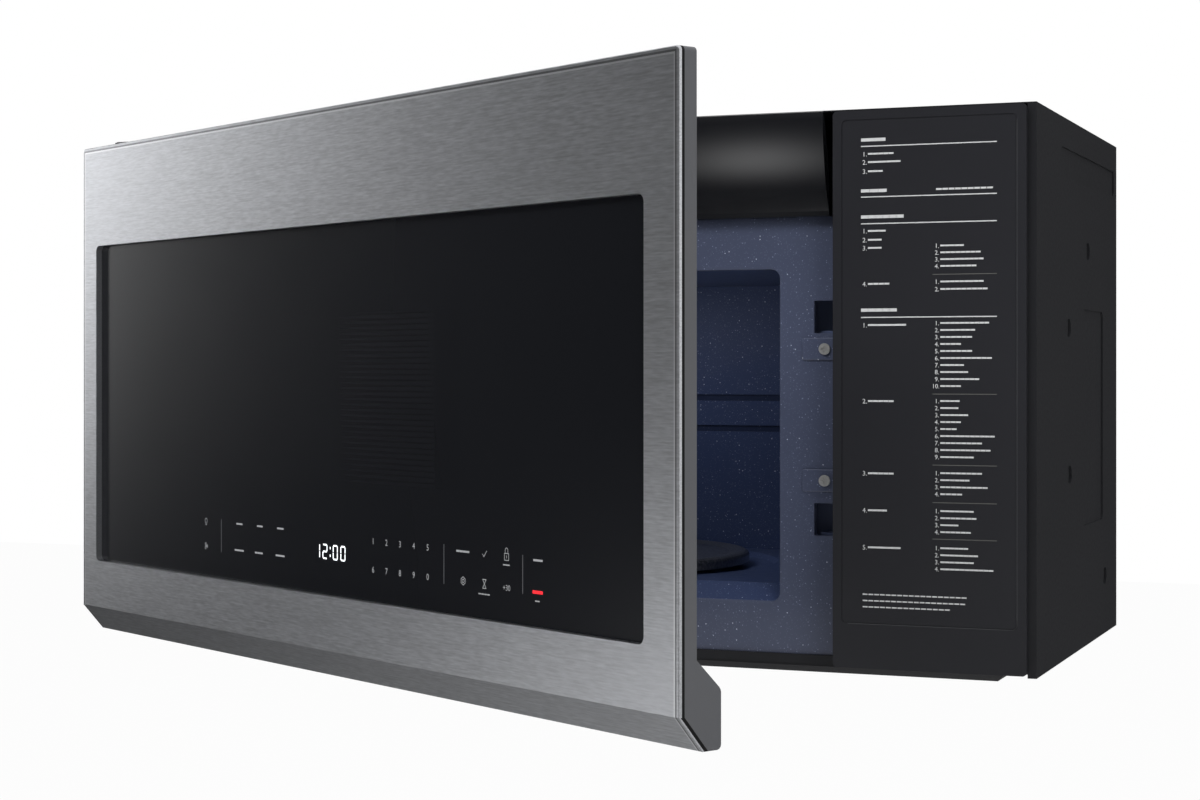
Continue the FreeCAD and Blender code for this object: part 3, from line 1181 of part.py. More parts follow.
# ---------------------------------------------------------------- fans and duct
def make_fan_shroud():
    """Square frame of the cooling fan, on the back sheet."""
    r = COOL_R + 3.0
    frame = rounded(COOL_X - r - 5, COOL_X + r + 5, -34.0, -SHEET, COOL_Z - r - 5, COOL_Z + r + 5,
                    (0, 1, 0), 6.0)
    bore = cyl(r, 40.0, (COOL_X, -36.0, COOL_Z), (0, 1, 0))
    spokes = [box(COOL_X - r - 1, COOL_X + r + 1, -5.0, -2.0, COOL_Z - 4, COOL_Z + 4),
              box(COOL_X - 4, COOL_X + 4, -5.0, -2.0, COOL_Z - r - 1, COOL_Z + r + 1)]
    return fused(frame.cut(bore), spokes)


def make_fan_motor():
    """Cooling-fan motor on the spokes of its shroud."""
    body = cyl(14.0, 12.0, (COOL_X, -17.0, COOL_Z), (0, 1, 0))
    return body.cut(cyl(2.0 + SLIP, 13.0, (COOL_X, -18.0, COOL_Z), (0, 1, 0)))


def make_cooling_fan():
    """Five-bladed axial fan with its shaft."""
    hub = cyl(11.0, 10.0, (COOL_X, -28.0, COOL_Z), (0, 1, 0))
    parts = [cyl(2.0, 22.0, (COOL_X, -27.0, COOL_Z), (0, 1, 0))]
    for n in range(COOL_BLADES):
        blade = box(-9.0, 9.0, -0.8, 0.8, 9.0, COOL_R)
        blade.rotate(V(0, 0, 0), V(0, 0, 1), 32.0)
        blade.rotate(V(0, 0, 0), V(0, 1, 0), n * 360.0 / COOL_BLADES)
        blade.translate(V(COOL_X, -23.0, COOL_Z))
        parts.append(blade)
    return fused(hub, parts)


def blower_spans():
    """X spans of the two blower scrolls, either side of the motor."""
    a = VENT_MOTOR_L / 2 + 6.0
    return [(-a - WHEEL_LEN - 4.0, -a), (a, a + WHEEL_LEN + 4.0)]


def make_blower_housing():
    """Two blower scrolls under the duct collar, joined by the motor cradle."""
    y0, y1 = BLOWER_Y - HOUSE_R - HOUSE_WALL, BLOWER_Y + HOUSE_R + HOUSE_WALL
    top = TOP - SHEET
    low = BLOWER_Z - HOUSE_R - HOUSE_WALL
    spans = blower_spans()
    w = HOUSE_WALL
    shell = box(spans[0][0] - w, spans[1][1] + w, y0, y1, low, top)
    shell = shell.cut(box(spans[0][1] + w, spans[1][0] - w, y0 - 1, y1 + 1, low + w, top + 1))
    for a, b in spans:
        shell = shell.cut(cyl(HOUSE_R, b - a, (a, BLOWER_Y, BLOWER_Z), (1, 0, 0)))
        half = DUCT_L / 2 - COLLAR_T
        xa, xb = max(a, -DUCT_W / 2 + COLLAR_T), min(b, DUCT_W / 2 - COLLAR_T)
        shell = shell.cut(box(xa, xb, BLOWER_Y - half, BLOWER_Y + half, BLOWER_Z, top + 1))
    reach = spans[1][1] + w + 1
    for x, sign in ((-reach, 1), (reach, -1)):
        shell = shell.cut(cyl(WHEEL_R - 8.0, w + 2, (x, BLOWER_Y, BLOWER_Z), (sign, 0, 0)))
    shaft = cyl(SHAFT_R + 1.0, 2 * spans[1][0] + 2.0, (spans[0][1] - 1, BLOWER_Y, BLOWER_Z),
                (1, 0, 0))
    return shell.cut(shaft)


def make_blower_motor():
    """Vent motor between the scrolls, bored for the common shaft."""
    half = VENT_MOTOR_L / 2
    body = cyl(VENT_MOTOR_R, VENT_MOTOR_L, (-half, BLOWER_Y, BLOWER_Z), (1, 0, 0))
    low = BLOWER_Z - HOUSE_R
    foot = box(-half + 6, half - 6, BLOWER_Y - 20, BLOWER_Y + 20, low, BLOWER_Z - 10)
    bore = cyl(SHAFT_R + SLIP, VENT_MOTOR_L, (-half, BLOWER_Y, BLOWER_Z), (1, 0, 0))
    return fused(body, [foot]).cut(bore)


def make_blower_wheels():
    """Two squirrel-cage wheels on one shaft."""
    spans = blower_spans()
    shaft = cyl(SHAFT_R, spans[1][1] - spans[0][0] - 8.0,
                (spans[0][0] + 4.0, BLOWER_Y, BLOWER_Z), (1, 0, 0))
    parts = []
    for a, b in spans:
        near = b - 3.0 if a < 0 else a + 1.5
        far = a + 2.0 if a < 0 else b - 3.5
        parts.append(cyl(WHEEL_R, 1.5, (near, BLOWER_Y, BLOWER_Z), (1, 0, 0)))
        ring = cyl(WHEEL_R, 1.5, (far, BLOWER_Y, BLOWER_Z), (1, 0, 0))
        parts.append(ring.cut(cyl(WHEEL_R - 7.0, 1.5, (far, BLOWER_Y, BLOWER_Z), (1, 0, 0))))
        x0, x1 = min(near, far), max(near, far) + 1.5
        for n in range(WHEEL_BLADES):
            blade = box(x0, x1, -0.5, 0.5, WHEEL_R - 7.0, WHEEL_R - 0.4)
            blade.rotate(V(0, 0, 0), V(1, 0, 0), n * 360.0 / WHEEL_BLADES)
            blade.translate(V(0, BLOWER_Y, BLOWER_Z))
            parts.append(blade)
    return fused(shaft, parts)


def make_duct_collar():
    """Rectangular duct collar that stands on the case top, bored for the flap pin."""
    x, t = DUCT_W / 2, COLLAR_T
    y0, y1 = -DUCT_BACK - DUCT_L, -DUCT_BACK
    tube = box(-x, x, y0, y1, TOP, TOP + DUCT_H)
    rim = box(-x - 8, x + 8, y0 - 8, y1 + 8, TOP, TOP + 1.2)
    hole = box(-x + t, x - t, y0 + t, y1 - t, TOP - 1, TOP + DUCT_H + 1)
    pin = cyl(1.5 + SLIP, 2 * x + 2, (-x - 1, y1 - 8.0, TOP + 8.0), (1, 0, 0))
    return fused(tube, [rim]).cut(hole).cut(pin)


def make_damper_flap():
    """Back-draught flap on a pin across the collar, resting shut."""
    x = DUCT_W / 2
    y1 = -DUCT_BACK - 8.0
    y0 = -DUCT_BACK - DUCT_L + COLLAR_T + FLAP_GAP
    z = TOP + 8.0
    leaf = box(-x + COLLAR_T + FLAP_GAP, x - COLLAR_T - FLAP_GAP, y0, y1, z - FLAP_T / 2,
               z + FLAP_T / 2)
    pin = cyl(1.5, 2 * x, (-x, y1, z), (1, 0, 0))
    return fused(leaf, [pin])


# ---------------------------------------------------------------- filters and fixings
def make_grease_filter(side):
    """Aluminium grease filter: rim and slotted mesh, with a finger tab."""
    x = side * FILTER_X
    x0, x1 = x - FILTER_W / 2, x + FILTER_W / 2
    y0 = FILTER_Y
    y1 = y0 + FILTER_L - FILTER_TRAVEL
    z = BUMP_LOW + SHEET + SEAT_GAP
    rim = box(x0, x1, y0, y1, z, z + FILTER_T)
    rim = rim.cut(box(x0 + 5, x1 - 5, y0 + 5, y1 - 5, z - 1, z + FILTER_T + 1))
    holes = []
    rows, cols = 16, 5
    step_y = (y1 - y0 - 14.0) / rows
    step_x = (x1 - x0 - 14.0) / cols
    for r in range(rows):
        for c in range(cols):
            a = x0 + 8.5 + c * step_x
            b = y0 + 8.5 + r * step_y
            holes.append(rect_wire_xy(a, a + step_x - 3.0, b, b + step_y - 3.0, z + 3.0))
    mesh = holed_plate(rect_wire_xy(x0 + 4, x1 - 4, y0 + 4, y1 - 4, z + 3.0), holes, (0, 0, MESH_T))
    return fused(rim, [mesh])


def make_top_nuts():
    """Two like weld nuts under the case top for the cabinet bolts."""
    nuts = []
    for x in (-BOLT_X, BOLT_X):
        z = TOP - SHEET - NUT_T
        nut = cyl(NUT_R, NUT_T, (x, -BOLT_BACK, z), (0, 0, 1))
        nuts.append(nut.cut(cyl(BOLT_R, NUT_T, (x, -BOLT_BACK, z), (0, 0, 1))))
    return Part.makeCompound(nuts)


def make_cord_gland():
    """Plain bushing where the supply cord leaves the case top."""
    z = TOP - SHEET
    body = cyl(CORD_R, SHEET + 3.0, (CORD_X, -CORD_BACK, z), (0, 0, 1))
    collar = cyl(CORD_R + 3.0, 2.0, (CORD_X, -CORD_BACK, TOP), (0, 0, 1))
    clip = cyl(CORD_R + 2.0, 3.0, (CORD_X, -CORD_BACK, z - 3.0), (0, 0, 1))
    bore = cyl(CORD_BORE, 12.0, (CORD_X, -CORD_BACK, z - 4.0), (0, 0, 1))
    return fused(body, [collar, clip]).cut(bore)


# ---------------------------------------------------------------- write the pieces
ANGLES = roller_angles()
FIXED = {
    "cabinet_wrap": make_cabinet_wrap(),
    "back_plate": make_back_plate(),
    "case_screws": make_case_screws(),
    "base_pan": make_base_pan(),
    "cooktop_lamp_lenses": make_lamp_lenses(),
    "cooktop_lamp_modules": make_lamp_modules(),
    "front_frame": make_front_frame(),
    "cavity_liner": make_cavity_liner(),
    "waveguide_cover": make_waveguide_cover(),
    "menu_panel": make_menu_panel(),
    "vent_deflector": make_vent_deflector(),
    "turntable_tray": make_turntable_tray(),
    "roller_ring": make_roller_ring(),
    "roller_a": make_roller(ANGLES[0]),
    "roller_b": make_roller(ANGLES[1]),
    "roller_c": make_roller(ANGLES[2]),
    "drive_coupler": make_drive_coupler(),
    "turntable_motor": make_turntable_motor(),
    "hinge_bracket_upper": make_hinge_bracket_upper(),
    "hinge_bracket_lower": make_hinge_bracket_lower(),
    "hinge_pins": make_hinge_pins(),
    "latch_board": make_latch_board(),
    "latch_screws": make_latch_screws(),
    "interlock_switches": make_interlock_switches(),
    "waveguide": make_waveguide(),
    "magnetron": make_magnetron(),
    "component_shelf": make_component_shelf(),
    "transformer": make_transformer(),
    "capacitor": make_capacitor(),
    "power_board": make_power_board(),
    "cavity_lamp": make_cavity_lamp(),
    "fan_shroud": make_fan_shroud(),
    "fan_motor": make_fan_motor(),
    "cooling_fan": make_cooling_fan(),
    "blower_housing": make_blower_housing(),
    "blower_motor": make_blower_motor(),
    "blower_wheels": make_blower_wheels(),
    "duct_collar": make_duct_collar(),
    "damper_flap": make_damper_flap(),
    "grease_filter_left": make_grease_filter(-1),
    "grease_filter_right": make_grease_filter(1),
    "top_nuts": make_top_nuts(),
    "cord_gland": make_cord_gland(),
}
DOOR = {
    "door_skin": make_door_skin(),
    "door_tray": make_door_tray(),
    "door_frame": make_door_frame(),
    "door_grip": make_door_grip(),
    "door_glass": make_door_glass(),
    "touch_board": make_touch_board(),
    "display_module": make_display_module(),
    "door_choke": make_door_choke(),
    "choke_cover": make_choke_cover(),
    "window_screen": make_window_screen(),
    "inner_glass": make_inner_glass(),
    "door_arm_upper": make_door_arm_upper(),
    "door_arm_lower": make_door_arm_lower(),
    "latch_housing": make_latch_housing(),
    "latch_carrier": make_latch_carrier(),
}

os.makedirs("parts", exist_ok=True)
for name, shape in FIXED.items():
    shape.exportStep("parts/" + name + ".step")
    print(name, len(shape.Solids), round(shape.Volume), shape.isValid())
for name, shape in DOOR.items():
    swung(shape).exportStep("parts/" + name + ".step")
    print(name, len(shape.Solids), round(shape.Volume), shape.isValid())
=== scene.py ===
import json
import math

import bmesh
import bpy
import numpy as np
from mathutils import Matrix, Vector


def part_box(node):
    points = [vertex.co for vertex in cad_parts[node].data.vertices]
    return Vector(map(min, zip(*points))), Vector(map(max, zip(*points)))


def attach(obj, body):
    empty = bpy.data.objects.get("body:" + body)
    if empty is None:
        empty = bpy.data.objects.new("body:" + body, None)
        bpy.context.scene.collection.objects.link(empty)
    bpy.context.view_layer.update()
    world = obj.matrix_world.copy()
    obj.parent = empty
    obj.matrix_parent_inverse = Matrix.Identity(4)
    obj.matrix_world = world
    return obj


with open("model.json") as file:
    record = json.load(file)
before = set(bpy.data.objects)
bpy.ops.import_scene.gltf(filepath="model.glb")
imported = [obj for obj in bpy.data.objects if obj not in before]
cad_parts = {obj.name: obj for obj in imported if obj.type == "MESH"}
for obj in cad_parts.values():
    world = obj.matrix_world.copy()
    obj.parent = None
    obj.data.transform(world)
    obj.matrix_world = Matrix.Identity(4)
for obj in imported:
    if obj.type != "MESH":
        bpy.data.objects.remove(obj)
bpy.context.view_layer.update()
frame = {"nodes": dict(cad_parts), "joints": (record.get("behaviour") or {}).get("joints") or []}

# ------------------------------------------------------------------ studio
# A plain pale floor well below the hung oven, white all round, soft lamps and the camera
# of the photograph.  Cards seen only by glossy surfaces stand for the dark sides of the room.


class Wire:
    """One output of a node.  Arithmetic on wires adds the Math node that works it out."""

    def __init__(self, socket):
        self.socket = socket

    def math(self, operation, first, second):
        tree = self.socket.id_data
        node = tree.nodes.new("ShaderNodeMath")
        node.operation = operation
        for place, value in enumerate((first, second)):
            if isinstance(value, Wire):
                tree.links.new(value.socket, node.inputs[place])
            else:
                node.inputs[place].default_value = value
        return Wire(node.outputs[0])

    def __add__(self, other):
        return self.math("ADD", self, other)

    def __sub__(self, other):
        return self.math("SUBTRACT", self, other)

    def __rsub__(self, other):
        return self.math("SUBTRACT", other, self)

    def __mul__(self, other):
        return self.math("MULTIPLY", self, other)

    def __rpow__(self, other):
        return self.math("POWER", other, self)

    def __gt__(self, other):
        return self.math("GREATER_THAN", self, other)

    def __lt__(self, other):
        return self.math("LESS_THAN", self, other)

    def between(self, low, high):
        """1 between low and high and 0 elsewhere."""
        return (self > low) * (self < high)


class Tree:
    """The nodes of one material or of the world; node() adds any node but a Math node."""

    def __init__(self, tree):
        self.tree = tree

    def node(self, kind, settings=None, sockets=None, output=0):
        """Adds a node: its settings first, then a value or a wire for each named socket."""
        node = self.tree.nodes.new(kind)
        for name, value in (settings or {}).items():
            setattr(node, name, value)
        self.feed(node, sockets)
        return Wire(node.outputs[output])

    def feed(self, node, sockets):
        for name, value in (sockets or {}).items():
            if isinstance(value, Wire):
                self.tree.links.new(value.socket, node.inputs[name])
            else:
                node.inputs[name].default_value = value

    def mix(self, factor, first, second):
        """The colour first where factor is 0 and second where it is 1."""
        sockets = {0: factor, 6: first, 7: second}
        return self.node("ShaderNodeMix", {"data_type": "RGBA"}, sockets, 2)


ROOM_BOUNCE = 0.38
FLOOR_HEIGHT = -1.30
FLOOR_HALF = 12.0
FLOOR_WHITE = 0.965
LENS = 66.96
SENSOR = 36.0
PICTURE_SHIFT = -0.0274
CAMERA_PLACE = (0.67865, -1.91379, 0.01611)
CAMERA_TURN = 21.91

world = bpy.data.worlds.new("white_room")
world.use_nodes = True
bpy.context.scene.world = world
room = Tree(world.node_tree)
ray = "ShaderNodeLightPath"
seen = room.node(ray, output=0) + room.node(ray, output=3) + room.node(ray, output=6)
room.feed(
    world.node_tree.nodes["Background"],
    {"Color": (1.0, 1.0, 1.0, 1.0), "Strength": (seen > 0.5) * (1.0 - ROOM_BOUNCE) + ROOM_BOUNCE},
)


def card(name, centre, across, up, half_width, half_height):
    """A flat rectangle: centre plus s times half_width across plus t times half_height up."""
    s, t = np.meshgrid([-1.0, 1.0], [-1.0, 1.0])
    across = np.array(across) * half_width
    up = np.array(up) * half_height
    points = np.array(centre) + s.ravel()[:, None] * across + t.ravel()[:, None] * up
    mesh = bpy.data.meshes.new(name)
    mesh.from_pydata(points.tolist(), [], [(0, 1, 3, 2)])
    piece = bpy.data.objects.new(name, mesh)
    bpy.context.scene.collection.objects.link(piece)
    return piece


floor = card("floor", (0.0, 0.0, FLOOR_HEIGHT), (1, 0, 0), (0, 1, 0), FLOOR_HALF, FLOOR_HALF)
floor_material = bpy.data.materials.new("pale_floor")
floor_material.use_nodes = True
pale = Tree(floor_material.node_tree)
pale.feed(
    pale.tree.nodes["Principled BSDF"],
    {"Base Color": (0.80, 0.80, 0.80, 1.0), "Roughness": 0.9, "Specular IOR Level": 0.0},
)
white = pale.node("ShaderNodeEmission", None, {"Color": (1, 1, 1, 1), "Strength": 1.0})
lit = Wire(pale.tree.nodes["Principled BSDF"].outputs[0])
seen_white = pale.node(ray) * FLOOR_WHITE
whitened = pale.node("ShaderNodeMixShader", None, {0: seen_white, 1: lit, 2: white})
pale.feed(pale.tree.nodes["Material Output"], {"Surface": whitened})
floor.data.materials.append(floor_material)


def soft_spot(tree, reach):
    """A round glow: e to the minus summed squares of each axis's distance over its reach."""
    place = tree.node("ShaderNodeTexCoord", output=3)
    total = 0.0
    for axis, (centre, width) in reach.items():
        away = (tree.node("ShaderNodeSeparateXYZ", None, {0: place}, axis) - centre) * (1.0 / width)
        total = away * away + total
    return math.e ** (total * -1.0)


def reflected_card(name, piece, glow):
    """Makes a card that only glossy rays see, with the glow that glow(tree) works out."""
    material = bpy.data.materials.new(name)
    material.use_nodes = True
    tree = Tree(material.node_tree)
    light = tree.node("ShaderNodeEmission", None, {"Color": (1, 1, 1, 1), "Strength": glow(tree)})
    tree.feed(tree.tree.nodes["Material Output"], {"Surface": light})
    piece.data.materials.append(material)
    piece.visible_camera = False
    piece.visible_diffuse = False
    piece.visible_transmission = False
    piece.visible_volume_scatter = False
    piece.visible_shadow = False


def window_glow(tree):
    """Two tall soft lights at the left: one level with the door's top, one low and nearer."""
    high = soft_spot(tree, {1: (0.0, 0.15), 2: (0.48, 0.58)})
    low = soft_spot(tree, {1: (-1.44, 0.20), 2: (-0.70, 0.24)})
    return high * 7.2 + low * 6.0 + 0.01


left_card = card("left_card", (-2.5, -0.75, 0.0), (0, 1, 0), (0, 0, 1), 1.8, 1.6)
reflected_card("left_card_glow", left_card, window_glow)
front_card = card("front_card", (-1.0, -5.2, 0.6), (1, 0, 0), (0, 0, 1), 4.5, 3.0)
front_spot = {2: (-1.6, 1.2)}
reflected_card("front_card_glow", front_card, lambda tree: soft_spot(tree, front_spot) * 0.5 + 0.06)
vent_card = card("vent_card", (0.145, -0.370, 0.163), (1, 0, 0), (0, 0, 1), 0.080, 0.036)
vent_spot = {0: (0.168, 0.055), 2: (0.163, 0.018)}
reflected_card("vent_card_glow", vent_card, lambda tree: soft_spot(tree, vent_spot) * 1.25)
far_card = card("far_card", (1.7, 2.6, 0.0), (1, 0, 0), (0, 0, 1), 1.9, 1.8)
reflected_card("far_card_glow", far_card, lambda tree: 0.03)
foot_card = card("foot_card", (-1.6, 0.6, -1.25), (1, 0, 0), (0, 1, 0), 1.4, 1.3)
foot_spot = {0: (0.2, 1.2)}
reflected_card("foot_card_glow", foot_card, lambda tree: soft_spot(tree, foot_spot) * 0.45 + 0.04)


def lamp(name, place, target, width, height, watts):
    """A soft rectangular lamp at place, turned to face target."""
    light = bpy.data.lights.new(name, "AREA")
    light.shape = "RECTANGLE"
    light.size = width
    light.size_y = height
    light.energy = watts
    holder = bpy.data.objects.new(name, light)
    holder.location = place
    holder.rotation_euler = (Vector(target) - Vector(place)).to_track_quat("-Z", "Y").to_euler()
    holder.visible_glossy = False
    holder.visible_camera = False
    bpy.context.scene.collection.objects.link(holder)


lamp("key_lamp", (-1.6, -3.2, 2.4), (0, -0.2, 0), 1.8, 1.4, 70.0)
lamp("fill_lamp", (2.6, -2.6, 0.9), (0, -0.2, 0), 1.6, 1.6, 26.0)
lamp("top_lamp", (0.0, -0.6, 2.6), (0, -0.2, 0), 2.2, 1.2, 34.0)
lamp("oven_lamp", (-0.02, -0.20, 0.06), (0.06, -0.14, -0.15), 0.20, 0.12, 0.20)

camera = bpy.data.cameras.new("camera")
camera.lens = LENS
camera.sensor_width = SENSOR
camera.shift_y = PICTURE_SHIFT
viewer = bpy.data.objects.new("camera", camera)
viewer.location = CAMERA_PLACE
viewer.rotation_euler = (math.radians(90.0), 0.0, math.radians(CAMERA_TURN))
bpy.context.scene.collection.objects.link(viewer)
bpy.context.scene.camera = viewer
bpy.context.scene.view_settings.view_transform = "Standard"

# ------------------------------------------------------------------ case
# The case sheet, its base pan and the fixed panel: folded sheet steel in satin black powder
# paint, whose skin is finely pebbled, and a moulded panel with a very fine spark texture.


class Finish(Tree):
    """A material built round one Principled shader, laid on CAD nodes or on new pieces."""

    def __init__(self, name, **fixed):
        self.material = bpy.data.materials.new(name)
        self.material.use_nodes = True
        Tree.__init__(self, self.material.node_tree)
        self.shader = self.tree.nodes["Principled BSDF"]
        self.spot = self.node("ShaderNodeTexCoord", output=3)
        for socket, value in fixed.items():
            self.set(**{socket: value})

    def set(self, **sockets):
        """Sets shader sockets; colour is Base Color and the rest are written with underscores."""
        named = {}
        for socket, value in sockets.items():
            title = "Base Color" if socket == "colour" else socket.replace("_", " ").title()
            title = title.replace("Ior", "IOR")
            if isinstance(value, tuple) and len(value) == 3:
                value = value + (1.0,)
            named[title] = value
        self.feed(self.shader, named)

    def place(self, cells, turn=0.0):
        """Object coordinates turned back by turn degrees, then as many cells to the metre."""
        size = tuple(1.0 / number for number in cells)
        sockets = {0: self.spot, "Rotation": (0, 0, math.radians(turn)), "Scale": size}
        return self.node("ShaderNodeMapping", {"vector_type": "TEXTURE"}, sockets)

    def noise(self, scale, detail=2.0, where=None):
        """Cloudy noise from 0 to 1."""
        sockets = {"Vector": where or self.spot, "Scale": scale, "Detail": detail}
        return self.node("ShaderNodeTexNoise", None, sockets)

    def tint(self, scale, low, high):
        """Clouds the colour from low to high."""
        self.set(colour=self.mix(self.noise(scale), low, high))

    def bump(self, height, strength, depth):
        """Raises the surface by height times depth metres."""
        sockets = {"Height": height, "Strength": strength, "Distance": depth}
        self.feed(self.shader, {"Normal": self.node("ShaderNodeBump", None, sockets)})

    def cover(self, *names):
        """Lays the finish on CAD nodes."""
        for name in names:
            for slot in frame["nodes"][name].material_slots:
                slot.material = self.material


powder = Finish("powder_paint", specular_ior_level=0.3)
powder.tint(7.0, (0.0125, 0.0130, 0.0155, 1), (0.0180, 0.0185, 0.0215, 1))
powder.set(roughness=powder.noise(340.0) * 0.16 + 0.40)
powder.bump(powder.noise(900.0, 1.0), 0.25, 0.0002)
powder.cover("cabinet_wrap", "base_pan")

moulded = Finish("panel_plastic", specular_ior_level=0.35)
moulded.tint(9.0, (0.018, 0.0185, 0.0225, 1), (0.022, 0.0225, 0.0270, 1))
moulded.set(roughness=moulded.noise(1200.0, 0.0) * 0.12 + 0.42)
moulded.bump(moulded.noise(1500.0, 0.0), 0.12, 0.0001)
moulded.cover("menu_panel")

# ------------------------------------------------------------------ bare metal
# Zinc plated sheet and fixings with soft, uneven crystals, plain screw steel, rolled aluminium,
# and the fine expanded mesh of the grease filters.

zinc = Finish("zinc_plate", metallic=1.0)
flakes = zinc.node("ShaderNodeTexVoronoi", None, {"Vector": zinc.spot, "Scale": 130.0}, 1)
shade = zinc.node("ShaderNodeSeparateColor", None, {0: flakes}, 0)
zinc.set(colour=zinc.mix(shade, (0.40, 0.40, 0.39, 1), (0.56, 0.56, 0.55, 1)))
zinc.set(roughness=shade * 0.14 + zinc.noise(60.0) * 0.12 + 0.28)
zinc.bump(zinc.noise(500.0), 0.15, 0.0001)
zinc.cover(
    "back_plate", "case_screws", "turntable_motor", "hinge_bracket_upper", "hinge_bracket_lower",
    "hinge_pins", "waveguide", "component_shelf", "fan_motor", "blower_housing",
    "blower_motor", "duct_collar", "damper_flap", "top_nuts", "door_arm_upper", "door_arm_lower",
)

screw_steel = Finish("screw_steel", metallic=0.6)
screw_steel.tint(600.0, (0.52, 0.52, 0.51, 1), (0.74, 0.74, 0.73, 1))
screw_steel.set(roughness=screw_steel.noise(300.0) * 0.15 + 0.32)
screw_steel.bump(screw_steel.noise(900.0), 0.1, 0.0001)
screw_steel.cover("latch_screws")

aluminium = Finish("bare_aluminium", metallic=1.0)
grain = aluminium.noise(1.0, 3.0, aluminium.place((60.0, 900.0, 900.0)))
aluminium.set(colour=aluminium.mix(grain, (0.50, 0.50, 0.51, 1), (0.66, 0.66, 0.66, 1)))
aluminium.set(roughness=grain * 0.2 + 0.28)
aluminium.bump(grain, 0.15, 0.0001)
aluminium.cover("magnetron", "capacitor")

netting = Finish("filter_mesh", metallic=1.0)
mesh_cells = {"Vector": netting.spot, "Scale": 240.0}
cells = netting.node("ShaderNodeTexVoronoi", {"feature": "DISTANCE_TO_EDGE"}, mesh_cells)
strand = netting.node("ShaderNodeMapRange", None, {0: cells, 1: 0.05, 2: 0.22, 3: 1.0, 4: 0.0})
netting.set(colour=netting.mix(strand, (0.10, 0.10, 0.10, 1), (0.62, 0.62, 0.62, 1)))
netting.set(roughness=netting.noise(300.0) * 0.15 + 0.30)
netting.bump(strand, 0.7, 0.0008)
netting.cover("grease_filter_left", "grease_filter_right")

# ------------------------------------------------------------------ enamel
# The front plate and the cavity: steel with a fired blue glaze full of pale specks.  The bands
# of the two pressed ribs of the cavity's back wall are painted darker, as painted shade.

CAVITY_BACK = -0.0165
RIB_SHADE_BANDS = [(-0.0140, -0.0085), (-0.0415, -0.0360)]


def specks(finish, scale, size, share):
    """Round specks: a cell of scale per metre holds one where its random number is below share."""
    sockets = {"Vector": finish.spot, "Scale": scale}
    near = finish.node("ShaderNodeTexVoronoi", {"feature": "F1"}, sockets, 0)
    cell = finish.node("ShaderNodeTexVoronoi", {"feature": "F1"}, sockets, 1)
    chance = finish.node("ShaderNodeSeparateColor", None, {0: cell}, 0)
    return (near < size) * (chance < share)


def fired_glaze(name, low, high, shade_bands=()):
    """Blue glaze, cloudy from low to high, with fine specks, some larger ones and painted shade on the
    rib bands.
    """
    finish = Finish(name, coat_weight=0.3, coat_roughness=0.08)
    tone = finish.mix(finish.noise(14.0), low, high)
    tone = finish.mix(specks(finish, 900.0, 0.26, 0.40) * 0.30, tone, (0.30, 0.35, 0.52, 1))
    tone = finish.mix(specks(finish, 430.0, 0.17, 0.35) * 0.60, tone, (0.40, 0.45, 0.62, 1))
    tone = finish.mix(specks(finish, 330.0, 0.14, 0.09) * 0.95, tone, (0.70, 0.74, 0.88, 1))
    back = finish.node("ShaderNodeSeparateXYZ", None, {0: finish.spot}, 1) > CAVITY_BACK
    height = finish.node("ShaderNodeSeparateXYZ", None, {0: finish.spot}, 2)
    # Painted shade: on the back wall, each rib band is mixed towards dark navy to stand for the shade
    # in the pressing.
    for foot, head in shade_bands:
        tone = finish.mix(back * height.between(foot, head) * 0.7, tone, (0.010, 0.015, 0.038, 1))
    finish.set(colour=tone, roughness=finish.noise(90.0) * 0.1 + 0.26)
    finish.bump(finish.noise(160.0), 0.12, 0.0002)
    return finish


fired_glaze("plate_enamel", (0.072, 0.086, 0.144, 1), (0.086, 0.101, 0.164, 1)).cover("front_frame")
cavity_low, cavity_high = (0.036, 0.054, 0.130, 1), (0.046, 0.067, 0.150, 1)
fired_glaze("cavity_enamel", cavity_low, cavity_high, RIB_SHADE_BANDS).cover("cavity_liner")

# ------------------------------------------------------------------ vent deflector
# The curved air deflector over the door: gloss black moulded plastic under a thin skin whose
# face bows forward: brow + run t + 4 t (1 - t) bow ahead, with t from the top edge to the foot.


def outward(mesh):
    """Turns the faces of a closed mesh outwards."""
    shell = bmesh.new()
    shell.from_mesh(mesh)
    bmesh.ops.recalc_face_normals(shell, faces=shell.faces)
    shell.to_mesh(mesh)
    shell.free()


gloss = Finish("gloss_black", coat_weight=0.6, coat_roughness=0.04)
gloss.tint(5.0, (0.0090, 0.0095, 0.0115, 1), (0.0120, 0.0125, 0.0150, 1))
gloss.set(roughness=gloss.noise(40.0) * 0.08 + 0.20)
gloss.bump(gloss.noise(700.0), 0.05, 0.0001)
gloss.cover("vent_deflector")

VENT_BOW = 0.0046
VENT_SKIN = 0.0012
HEEL_BACK = 0.0158
HEEL_UP = 0.0036
vent_low, vent_high = (np.array(corner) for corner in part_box("vent_deflector"))
brow = np.array([vent_low[1], vent_high[2]])
heel = np.array([vent_low[1] + HEEL_BACK, vent_low[2] + HEEL_UP])
run = heel - brow
ahead = np.array([run[1], -run[0]]) / np.linalg.norm(run)
t = np.linspace(0.0, 1.0, 33)[:, None]
front = brow + run * t + ahead * VENT_BOW * 4.0 * t * (1.0 - t)
loop = np.vstack([front, (front - ahead * VENT_SKIN)[::-1]])
ends = [np.column_stack([np.full(len(loop), x), loop]) for x in (vent_low[0], vent_high[0])]
step = np.arange(len(loop))
after = (step + 1) % len(loop)
sides = np.stack([step, after, after + len(loop), step + len(loop)], 1)
mesh = bpy.data.meshes.new("vent_face")
caps = [step.tolist(), (step + len(loop)).tolist()]
mesh.from_pydata(np.vstack(ends).tolist(), [], sides.tolist() + caps)
outward(mesh)
vent_face = bpy.data.objects.new("vent_face", mesh)
bpy.context.scene.collection.objects.link(vent_face)
mesh.materials.append(gloss.material)
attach(vent_face, "cabinet")

# ------------------------------------------------------------------ turntable
# The tray is dark ceramic under a gritty glaze.  The ring, rollers and coupler are nylon, and so
# is the door's sprung latch carrier.

